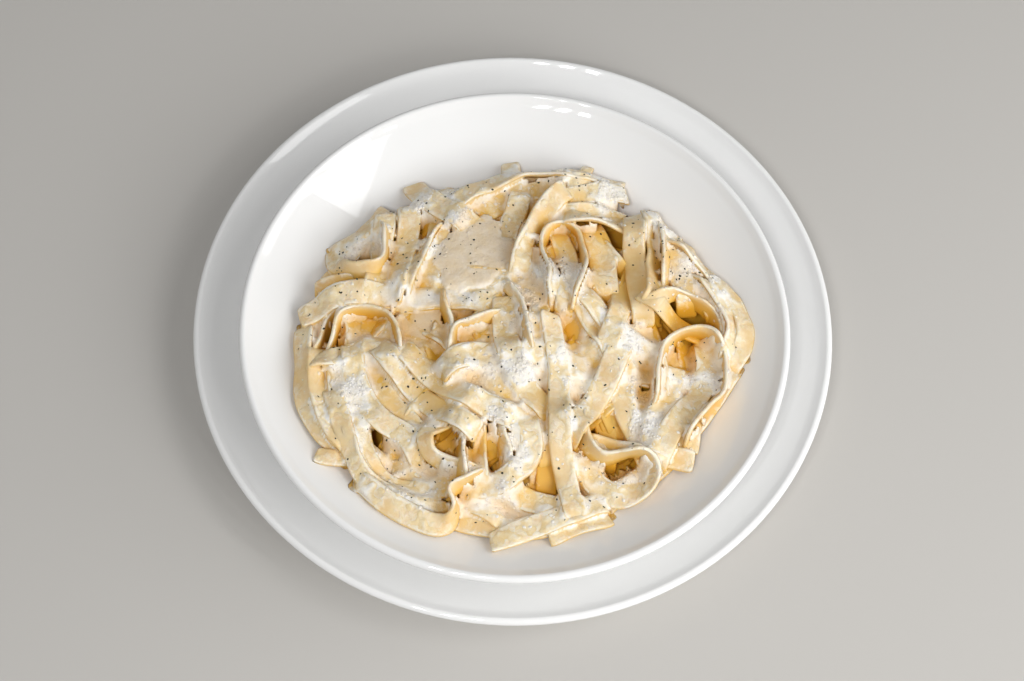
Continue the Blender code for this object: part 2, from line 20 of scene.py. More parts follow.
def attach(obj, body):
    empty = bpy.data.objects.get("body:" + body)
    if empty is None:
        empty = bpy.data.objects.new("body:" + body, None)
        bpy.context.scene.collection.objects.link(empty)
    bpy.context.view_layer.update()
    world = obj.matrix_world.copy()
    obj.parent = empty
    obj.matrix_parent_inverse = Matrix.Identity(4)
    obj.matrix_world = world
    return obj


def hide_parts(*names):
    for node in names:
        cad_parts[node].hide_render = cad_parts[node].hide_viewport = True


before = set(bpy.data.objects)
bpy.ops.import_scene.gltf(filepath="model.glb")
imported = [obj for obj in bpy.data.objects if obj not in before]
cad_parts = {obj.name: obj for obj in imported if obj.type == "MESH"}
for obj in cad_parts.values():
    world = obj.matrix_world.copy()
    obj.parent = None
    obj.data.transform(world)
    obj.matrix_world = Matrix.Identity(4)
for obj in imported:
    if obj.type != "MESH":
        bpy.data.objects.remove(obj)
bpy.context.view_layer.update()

MM = 0.001

# %% [markdown]
# ## Camera
#
# The photo looks steeply down on the dish from its front. Two circles are known in it, the rims of
# the bowl and of the underplate, and the shapes of their two ellipses fix the camera: how far it
# looks down, how far away it is, and a roll of under two degrees. A camera placed by those numbers
# shows every ribbon near the pixel where the photo has it, so the two can be compared.

# %% Camera
CAMERA_DOWN = 62.912              # degrees below the horizon
CAMERA_ROLL = 1.709               # degrees, anticlockwise as seen from behind the camera
CAMERA_PLACE = (-0.301, -364.71, 714.18)
CAMERA_LENS = 65.0
CAMERA_SENSOR = 36.0              # width of the sensor that goes with that lens

camera_data = bpy.data.cameras.new("camera")
camera_data.lens = CAMERA_LENS
camera_data.sensor_width = CAMERA_SENSOR
camera = bpy.data.objects.new("camera", camera_data)
bpy.context.scene.collection.objects.link(camera)
look_down = Matrix.Rotation(math.radians(90.0 - CAMERA_DOWN), 4, "X")
roll = Matrix.Rotation(math.radians(CAMERA_ROLL), 4, "Z")
camera.matrix_world = Matrix.Translation(Vector(CAMERA_PLACE) * MM) @ look_down @ roll
bpy.context.scene.camera = camera
print("camera", [round(v, 3) for v in camera.location])

# %% [markdown]
# ## Colours and nodes
#
# Colours are chosen as sRGB hex values, because that is what a colour picker shows on a photo.
# Blender's sockets want linear light, so one function converts them. A second small function adds
# a shader node with its settings, its values and its links, which keeps each material readable. A
# third makes a mesh of points in millimetres, for the pieces whose every point is worked out.

# %% Colour and node helpers
def colour(hex_value):
    """An sRGB hex colour as the linear RGBA that a socket wants."""
    channels = [int(hex_value[i:i + 2], 16) / 255.0 for i in (1, 3, 5)]
    linear = [c / 12.92 if c <= 0.04045 else ((c + 0.055) / 1.055) ** 2.4 for c in channels]
    return (*linear, 1.0)


def add_node(tree, kind, values=None, links=None, stops=(), **settings):
    """Add a shader node, set its properties, input values and colour stops, and link its inputs."""
    made = tree.nodes.new("ShaderNode" + kind)
    for name, value in settings.items():
        setattr(made, name, value)
    for name, value in (values or {}).items():
        made.inputs[name].default_value = value
    for name, socket in (links or {}).items():
        tree.links.new(socket, made.inputs[name])
    for number, (place, hex_value) in enumerate(stops):
        made.color_ramp.elements[number].position = place
        made.color_ramp.elements[number].color = colour(hex_value)
    return made


def new_material(name):
    """A material with its Principled shader, and the tree that the other nodes go into."""
    material = bpy.data.materials.new(name)
    material.use_nodes = True
    tree = material.node_tree
    return material, tree, tree.nodes["Principled BSDF"]


def new_piece(name, points, faces):
    """A mesh of points in millimetres as an object, smooth all over."""
    mesh = bpy.data.meshes.new(name)
    mesh.from_pydata((points * MM).tolist(), [], faces)
    piece = bpy.data.objects.new(name, mesh)
    bpy.context.scene.collection.objects.link(piece)
    mesh.shade_smooth()
    return piece


def dress(piece, material, slot, *nodes):
    """Give a finished piece its material and the body it rides on, and hide the solid model's nodes that
    it stands for.
    """
    piece.data.materials.clear()
    piece.data.materials.append(material)
    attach(piece, "root")
    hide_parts(*nodes)
    print(piece.name, len(piece.data.polygons), "faces")


print("white as linear light:", [round(value, 3) for value in colour("#f5f5f4")])

# %% [markdown]
# ## Floor and light
#
# The dish stands on a plain pale floor. The photo's light is soft daylight that comes mostly from the
# right: it lights the bowl's wall at the left, leaves the wall at the right in soft shade, and shows
# as bright panes where the glaze mirrors a window. So area lights stand in four directions, two of
# them split in panes, with a dim even sky for the rest of the room. The view transform is Standard,
# so that white porcelain stays white.

# %% Floor
FLOOR_SIDE = 4000.0
FLOOR_DROP = 0.2                  # how far it lies under the foot ring, so that no two faces coincide

bpy.ops.object.select_all(action="DESELECT")
bpy.ops.mesh.primitive_plane_add(size=FLOOR_SIDE * MM, location=(0.0, 0.0, -FLOOR_DROP * MM))
floor = bpy.context.object
floor.name = "floor"
floor_material, tree, shader = new_material("matt_pale_floor")
shader.inputs["Base Color"].default_value = colour("#c4c1bc")
shader.inputs["Roughness"].default_value = 0.7
floor.data.materials.append(floor_material)
print("floor:", [round(side, 2) for side in floor.dimensions], "m")

# %% Lights
PANE_SHARE = 0.45                 # share of a pane's place that is glass
SKY = 0.2                         # strength of the room's even light


def window(name, towards, distance, side, power, panes=1):
    """Area lights that shine on the dish from one direction, side by side as a window's panes are."""
    direction = Vector(towards).normalized()
    turn = direction.to_track_quat("Z", "Y")
    for pane in range(panes):
        data = bpy.data.lights.new(name, "AREA")
        data.shape = "RECTANGLE"
        data.size = side[0] / panes * (PANE_SHARE if panes > 1 else 1.0)
        data.size_y = side[1]
        data.energy = power / panes
        lamp = bpy.data.objects.new(name, data)
        bpy.context.scene.collection.objects.link(lamp)
        aside = ((pane + 0.5) / panes - 0.5) * side[0]
        lamp.location = direction * distance + turn @ Vector((aside, 0.0, 0.0))
        lamp.rotation_euler = turn.to_euler()
    print(name, power, "W in", panes, "panes" if panes > 1 else "piece")


# Direction, distance and sides in metres, power in watts
window("right_window", (0.62, -0.15, 0.77), 1.5, (0.5, 0.6), 3.6)
window("right_low_window", (0.93, -0.05, 0.36), 1.5, (0.9, 0.9), 6.5)
window("right_front_window", (0.6, -0.6, 0.53), 1.5, (0.8, 0.7), 10.0, panes=4)
window("front_window", (-0.16, -0.5, 0.84), 1.6, (0.4, 0.3), 8.2, panes=3)

world = bpy.data.worlds.new("room")
world.use_nodes = True
world.node_tree.nodes["Background"].inputs["Color"].default_value = colour("#ffffff")
world.node_tree.nodes["Background"].inputs["Strength"].default_value = SKY
bpy.context.scene.world = world
bpy.context.scene.view_settings.view_transform = "Standard"

# %% [markdown]
# ## Glazed porcelain
#
# Both dishes are hotel porcelain: a white fired body under a clear gloss glaze about 0.2 mm thick.
# The eye sees a very white surface with sharp reflections that waver a little, because the glaze
# pooled unevenly while it was molten. The foot ring is wiped clean of glaze before firing, so it
# is matt and slightly cream. One material does both: a mask on height finds the foot.

# %% Porcelain
GLAZE_WAVE = 14.0                 # from one slow swell of the glaze to the next
GLAZE_DEPTH = 0.02                # height of those swells
GLAZE_MOTTLE = 45.0               # from one faintly darker patch of the body to the next
FOOT_FADE = 0.5                   # height over which the bare foot turns to full glaze


def porcelain(name, foot_height):
    """Glazed porcelain whose foot ring, below foot_height in millimetres, is bare."""
    material, tree, shader = new_material(name)
    where = add_node(tree, "TexCoord").outputs["Object"]
    height = add_node(tree, "SeparateXYZ", links={"Vector": where}).outputs["Z"]
    bare = add_node(tree, "MapRange", {"From Min": foot_height * MM,
                                       "From Max": (foot_height + FOOT_FADE) * MM,
                                       "To Min": 1.0, "To Max": 0.0}, {"Value": height})
    swell = add_node(tree, "TexNoise", {"Scale": 1.0 / (GLAZE_WAVE * MM), "Detail": 1.0},
                     {"Vector": where})
    mottle = add_node(tree, "TexNoise", {"Scale": 1.0 / (GLAZE_MOTTLE * MM), "Detail": 2.0},
                      {"Vector": where})
    glaze = add_node(tree, "Mix", {"A": colour("#f0f0ef"), "B": colour("#f5f5f4")},
                     {"Factor": mottle.outputs["Fac"]}, data_type="RGBA")
    body = add_node(tree, "Mix", {"B": colour("#e6dfd0")},
                    {"Factor": bare.outputs["Result"], "A": glaze.outputs["Result"]}, data_type="RGBA")
    tree.links.new(body.outputs["Result"], shader.inputs["Base Color"])
    rough = add_node(tree, "MapRange", {"To Min": 0.04, "To Max": 0.75}, {"Value": bare.outputs["Result"]})
    tree.links.new(rough.outputs["Result"], shader.inputs["Roughness"])
    bump = add_node(tree, "Bump", {"Strength": 1.0, "Distance": GLAZE_DEPTH * MM},
                    {"Height": swell.outputs["Fac"]})
    tree.links.new(bump.outputs["Normal"], shader.inputs["Normal"])
    shader.inputs["IOR"].default_value = 1.52
    return material

# %% [markdown]
# ## Underplate
#
# A plate is turned: every section through its axis is the same. By hand in Blender that is a
# circle, extruded ring by ring, each new ring scaled and lifted to the next point of the section.
# The section comes from the same sizes as the solid model, but with enough points that the lip is
# round and the coupe runs in one smooth curve. 160 sides leave no corner in the outline.

# %% Turn a dish
DISH_SIDES = 160
LIP_ARC = np.radians(np.arange(-55.0, 126.0, 12.0))  # from the wall outside, over the top, inwards
LIP_SHOULDER = 0.3                # the upper face meets the lip this share of its radius down


def coupe_height(radius, floor_radius, floor_height, rim_radius, rim_height, power):
    """Height of a coupe's upper face: a flat floor that curves up to the rim."""
    share = np.clip((radius - floor_radius) / (rim_radius - floor_radius), 0.0, 1.0)
    return floor_height + (rim_height - floor_height) * share ** power


def lip_points(radius, height, lip):
    """The rounded edge of a dish, from the outside over the top to its inner shoulder."""
    return [(radius - lip + lip * math.cos(a), height - lip + lip * math.sin(a)) for a in LIP_ARC]


def turn_dish(name, profile, centre):
    """Extrude a circle ring by ring along a profile of (radius, height), and close both ends."""
    bpy.ops.object.select_all(action="DESELECT")
    start_radius, start_height = profile[0]
    bpy.ops.mesh.primitive_circle_add(vertices=DISH_SIDES, radius=start_radius * MM, fill_type="TRIFAN",
                                      location=(centre[0] * MM, centre[1] * MM, start_height * MM))
    dish = bpy.context.object
    dish.name = name
    bpy.ops.object.mode_set(mode="EDIT")
    bpy.ops.mesh.select_mode(type="EDGE")
    bpy.ops.mesh.select_all(action="SELECT")
    bpy.ops.mesh.region_to_loop()
    for (radius, height), (next_radius, next_height) in zip(profile, profile[1:]):
        rise = (next_height - height) * MM
        bpy.ops.mesh.extrude_edges_move(TRANSFORM_OT_translate={"value": (0.0, 0.0, rise)})
        share = next_radius / radius
        middle = (centre[0] * MM, centre[1] * MM, next_height * MM)
        bpy.ops.transform.resize(value=(share, share, 1.0), center_override=middle)
    bpy.ops.mesh.extrude_edges_move(TRANSFORM_OT_translate={"value": (0.0, 0.0, 0.0)})
    bpy.ops.mesh.merge(type="CENTER")
    bpy.ops.mesh.select_all(action="SELECT")
    bpy.ops.mesh.normals_make_consistent(inside=False)
    bpy.ops.object.mode_set(mode="OBJECT")
    bpy.ops.object.transform_apply(location=True, rotation=True, scale=True)
    bpy.ops.object.shade_smooth()
    print(name, "turned from", len(profile), "rings")
    return dish


# %% Underplate
PLATE_RIM_RADIUS = 135.0
PLATE_RIM_HEIGHT = 22.3
PLATE_LIP = 1.8
PLATE_WELL_RADIUS = 80.0
PLATE_WELL_HEIGHT = 7.5
PLATE_WALL = 4.2
PLATE_CURVE = 1.6                 # power of the rise from the well to the rim
PLATE_FOOT_GLAZE = 0.3            # height at which the glaze ends


def plate_inside(radius):
    """Height of the underplate's upper face."""
    return coupe_height(radius, PLATE_WELL_RADIUS, PLATE_WELL_HEIGHT, PLATE_RIM_RADIUS - PLATE_LIP,
                        PLATE_RIM_HEIGHT - PLATE_LIP * LIP_SHOULDER, PLATE_CURVE)


# From the middle of the underside over the foot ring and the rim to the middle of the well
profile = [(2.0, 2.6), (40.0, 2.6), (70.2, 2.6), (71.0, 2.3), (71.6, 1.2), (72.1, 0.3), (72.9, 0.0),
           (77.0, 0.0), (78.1, 0.3), (78.8, 1.2), (80.2, 2.6)]
profile += [(r, plate_inside(r) - PLATE_WALL) for r in np.linspace(83.0, 127.0, 20)]
profile += lip_points(PLATE_RIM_RADIUS, PLATE_RIM_HEIGHT, PLATE_LIP)
profile += [(r, plate_inside(r)) for r in np.linspace(130.6, PLATE_WELL_RADIUS - 6.0, 28)]
profile += [(40.0, PLATE_WELL_HEIGHT), (2.0, PLATE_WELL_HEIGHT)]
underplate = turn_dish("glazed_underplate", profile, (0.0, 0.0))
dress(underplate, porcelain("glazed_porcelain_underplate", PLATE_FOOT_GLAZE), "porcelain", "underplate")

# %% [markdown]
# ## Bowl
#
# The bowl is a deeper coupe with a flat floor about 80 mm across, and stands a little in front of
# the plate's middle. It is turned in the same way. Its wall is 4 mm thick, measured square to the
# curve, which is why the underside's height is worked out from the slope.

# %% Bowl
BOWL_SHIFT = (0.7, -11.5)         # its middle from the plate's
BOWL_RIM_RADIUS = 113.3
BOWL_RIM_HEIGHT = 42.4
BOWL_LIP = 1.9
BOWL_FLOOR_RADIUS = 40.0
BOWL_FLOOR_HEIGHT = 16.0
BOWL_WALL = 4.0
BOWL_CURVE = 1.7                  # power of the rise from the floor to the rim
BOWL_FOOT = 7.8                   # height of its foot ring, just over the plate's well
BOWL_FOOT_GLAZE = 0.3             # height over the foot at which the glaze ends


def bowl_inside(radius):
    """Height of the bowl's upper face."""
    return coupe_height(radius, BOWL_FLOOR_RADIUS, BOWL_FLOOR_HEIGHT, BOWL_RIM_RADIUS - BOWL_LIP,
                        BOWL_RIM_HEIGHT - BOWL_LIP * LIP_SHOULDER, BOWL_CURVE)


def bowl_outside(radius):
    """Height of the underside: the wall's thickness is measured square to its slope."""
    slope = float(bowl_inside(radius + 0.5) - bowl_inside(radius - 0.5))
    return float(bowl_inside(radius)) - BOWL_WALL * math.hypot(1.0, slope)


profile = [(2.0, 11.0), (41.0, 11.0), (42.2, 10.6), (42.9, 9.2), (43.2, BOWL_FOOT + 0.3),
           (43.9, BOWL_FOOT), (47.2, BOWL_FOOT), (48.0, BOWL_FOOT + 0.3), (48.7, BOWL_FOOT + 1.4),
           (50.2, 11.2)]
profile += [(r, bowl_outside(r)) for r in np.linspace(53.0, 107.0, 24)]
profile += lip_points(BOWL_RIM_RADIUS, BOWL_RIM_HEIGHT, BOWL_LIP)
profile += [(r, float(bowl_inside(r))) for r in np.linspace(108.6, BOWL_FLOOR_RADIUS - 4.0, 36)]
profile += [(20.0, BOWL_FLOOR_HEIGHT), (2.0, BOWL_FLOOR_HEIGHT)]
bowl = turn_dish("glazed_bowl", profile, BOWL_SHIFT)
dress(bowl, porcelain("glazed_porcelain_bowl", BOWL_FOOT + BOWL_FOOT_GLAZE), "porcelain", "bowl")

# %% [markdown]
# ## How the heap is built
#
# The pasta is tagliatelle: flat ribbons of egg dough, just under 10 mm wide and 2 mm thick once
# cooked. A simulation would make some heap, but not this one, and the photo shows where each top
# ribbon runs. So every ribbon that shows has its route drawn over the bowl, seen from above, and the
# computer only lets it fall: in turn, each ribbon comes to rest on a height map of all that lies
# under it, sags a little between what holds it up, and then raises the map itself.
# Where a ribbon stands on its edge, its route says by how many degrees its left edge is raised.

# %% The heap's own shape
HEAP_RADIUS = 96.0
HEAP_EDGE_HEIGHT = 34.0
HEAP_CROWN = 16.0                 # rise from the heap's edge to its top
HEAP_ROUND = 0.9                  # power of that rise
HEAP_OUTLINE = (97, 84, 86, 77, 77, 84, 91, 94, 92, 94, 91, 90)  # reach every 30 degrees from +x
OUTLINE_STEP = 30.0
CORE_DROP = 8.0                   # what holds the ribbons up lies this far under the heap's surface
CORE_INSET = 7.0                  # and stays this far inside its outline
CORE_BUMP = 0.8                   # height of its slow swells,
CORE_SWELLS = ((0.31, 1.0), (0.27, 0.4))  # radians per millimetre and start, along x and y
BOWL_CLEARANCE = 0.6              # between the bowl and what lies in it


def heap_surface(x, y):
    """Height that the top of the heap keeps to."""
    share = np.clip(1.0 - (x * x + y * y) / HEAP_RADIUS ** 2, 0.0, 1.0)
    return HEAP_EDGE_HEIGHT + HEAP_CROWN * share ** HEAP_ROUND


def outline_radius(angle):
    """How far the heap reaches from the bowl's middle, for an array of angles in radians."""
    place = np.mod(np.degrees(angle), 360.0) / OUTLINE_STEP
    before = np.floor(place).astype(int) % len(HEAP_OUTLINE)
    after = (before + 1) % len(HEAP_OUTLINE)
    share = 0.5 - 0.5 * np.cos(math.pi * (place - np.floor(place)))
    reach = np.array(HEAP_OUTLINE, dtype=float)
    return reach[before] * (1.0 - share) + reach[after] * share


def core_top(x, y):
    """Height of what holds the ribbons up: the solid core of the solid model."""
    (pace_x, start_x), (pace_y, start_y) = CORE_SWELLS
    bump = np.sin(x * pace_x + start_x) * np.sin(y * pace_y + start_y)
    return heap_surface(x, y) - CORE_DROP + CORE_BUMP * bump


print("heap's top:", heap_surface(0.0, 0.0), "mm, the core's:", round(float(core_top(0.0, 0.0)), 1))

# %% Height map
def nearest(x, y, reach, cell, size):
    """Row and column of each point's cell in a square grid that runs from -reach in both ways."""
    column = np.clip(np.rint((x + reach) / cell).astype(int), 0, size - 1)
    row = np.clip(np.rint((y + reach) / cell).astype(int), 0, size - 1)
    return row, column


class Ground:
    """The highest surface so far, on a square grid over the bowl."""
    CELL = 1.0
    REACH = 110.0

    def __init__(self, drop=0.0):
        line = np.arange(-self.REACH, self.REACH + self.CELL, self.CELL)
        x, y = np.meshgrid(line, line)
        radius = np.hypot(x, y)
        self.height = bowl_inside(radius) + BOWL_CLEARANCE
        inside = radius < outline_radius(np.arctan2(y, x)) - CORE_INSET
        raised = np.maximum(self.height, core_top(x, y) - drop)
        self.height = np.where(inside, raised, self.height)

    def cells(self, x, y):
        """Row and column of the cell under each point."""
        return nearest(x, y, self.REACH, self.CELL, len(self.height))

    def read(self, x, y):
        """Height of the ground under each point."""
        return self.height[self.cells(x, y)]

    def raise_to(self, x, y, z):
        """Raise the ground to each point that lies higher."""
        np.maximum.at(self.height, self.cells(x, y), z)


print("ground before any ribbon:", Ground().height.shape, "cells")

# %% From a route to evenly spaced stations
STATION_STEP = 1.5
KNOT_STEPS = 24                   # points worked out between two points of a route


def fill_angles(points):
    """Give each point of a route its angle: the last one stated before it."""
    angle = 0.0
    filled = []
    for point in points:
        angle = point[2] if len(point) == 3 else angle
        filled.append((point[0], point[1], angle))
    return np.array(filled, dtype=float)


def smooth_route(points):
    """Stations at equal steps along a smooth curve through the route's points."""
    knots = fill_angles(points)
    ends = np.vstack([2 * knots[0] - knots[1], knots, 2 * knots[-1] - knots[-2]])
    dense = []
    for before, start, end, after in zip(ends, ends[1:], ends[2:], ends[3:]):
        for t in np.linspace(0.0, 1.0, KNOT_STEPS, endpoint=False):
            dense.append(0.5 * (2 * start + (end - before) * t
                                + (2 * before - 5 * start + 4 * end - after) * t * t
                                + (3 * start - before - 3 * end + after) * t ** 3))
    dense = np.array(dense + [knots[-1]])
    steps = np.hypot(*np.diff(dense[:, :2], axis=0).T)
    travelled = np.concatenate([[0.0], np.cumsum(steps)])
    count = max(4, int(round(travelled[-1] / STATION_STEP)))
    wanted = np.linspace(0.0, travelled[-1], count + 1)
    return np.stack([np.interp(wanted, travelled, dense[:, axis]) for axis in range(3)], axis=1)


def smoothed(values, rounds):
    """Values along a ribbon, each drawn towards its neighbours that many times."""
    for _ in range(rounds):
        inner = 0.25 * values[:-2] + 0.5 * values[1:-1] + 0.25 * values[2:]
        values = np.concatenate([values[:1], inner, values[-1:]])
    return values


print(len(smooth_route(((0.0, 0.0), (30.0, 0.0)))), "stations on a straight route of 30 mm")

# %% Let one ribbon fall
RIBBON_WIDTH = 9.75
RIBBON_THICKNESS = 1.9
TIP_SHARE = 0.8                   # share of the ground's slope that a ribbon tips to
TIP_ROUNDS = 14                   # smoothing of that slope along the ribbon
SAG_STEP = 0.02                   # how far a ribbon sags between its supports, in each of
SAG_ROUNDS = 30                   # so many rounds
BEND_ROUNDS = 3                   # smoothing that keeps it from bending sharply
PROUD_LIMIT = 1.0                 # a ribbon higher than this above the heap's surface
PRESS = 0.6                       # is pressed back by this share of the rest
FEET = 7                          # places across a ribbon that rest on the ground
PRINT_ALONG = 3                   # places at which it raises the ground, for each station
PRINT_ACROSS = 13                 # and across it


def leftward(route):
    """Unit vectors to the left of a route, seen from above."""
    forward = np.gradient(route[:, :2], axis=0)
    forward /= np.linalg.norm(forward, axis=1)[:, None]
    return np.stack([-forward[:, 1], forward[:, 0]], axis=1)


def bank_of(route, left, width, ground):
    """Each station's bank: the stated angle, and a tip to the slope of what it lies on."""
    half = left * width / 2
    low = ground.read(route[:, 0] - half[:, 0], route[:, 1] - half[:, 1])
    high = ground.read(route[:, 0] + half[:, 0], route[:, 1] + half[:, 1])
    stated = np.radians(route[:, 2])
    return stated + TIP_SHARE * smoothed(np.arctan2(high - low, width), TIP_ROUNDS) * np.cos(stated)


def resting_height(route, left, bank, width, sink, ground):
    """Height of the ribbon's middle at each station: on the ground, stiff, and not too proud."""
    across = np.linspace(-0.5, 0.5, FEET) * width
    foot_x = route[:, :1] + left[:, :1] * across * np.cos(bank)[:, None]
    foot_y = route[:, 1:2] + left[:, 1:] * across * np.cos(bank)[:, None]
    rise = across * np.sin(bank)[:, None]
    need = (ground.read(foot_x, foot_y) - rise).max(axis=1) + RIBBON_THICKNESS / 2 - sink
    middle = need
    for _ in range(SAG_ROUNDS):
        middle = np.maximum(need, smoothed(middle, 1) - SAG_STEP)
    middle = smoothed(middle, BEND_ROUNDS)
    proud = middle - heap_surface(route[:, 0], route[:, 1]) - PROUD_LIMIT
    return middle - PRESS * np.maximum(proud, 0.0)


def settle(points, width, sink, ground):
    """Lay a ribbon on the ground: its centre line, its sideways and upward directions."""
    route = smooth_route(points)
    left = leftward(route)
    bank = bank_of(route, left, width, ground)
    middle = resting_height(route, left, bank, width, sink, ground)
    side = np.stack([left[:, 0] * np.cos(bank), left[:, 1] * np.cos(bank), np.sin(bank)], axis=1)
    up = np.stack([-left[:, 0] * np.sin(bank), -left[:, 1] * np.sin(bank), np.cos(bank)], axis=1)
    centre = np.stack([route[:, 0], route[:, 1], middle], axis=1)
    rows = []
    for step in np.linspace(0.0, 1.0, PRINT_ALONG, endpoint=False):
        between = centre[:-1] * (1 - step) + centre[1:] * step
        for share in np.linspace(-0.5, 0.5, PRINT_ACROSS):
            rows.append(between + side[:-1] * share * width + up[:-1] * RIBBON_THICKNESS / 2)
    spots = np.concatenate(rows)
    ground.raise_to(spots[:, 0], spots[:, 1], spots[:, 2])
    return centre, side, up


centre = settle(((-30.0, 0.0), (30.0, 0.0)), RIBBON_WIDTH, 0.0, Ground())[0]
print("a ribbon laid across the bare core rests", round(centre[:, 2].mean(), 1), "mm high")
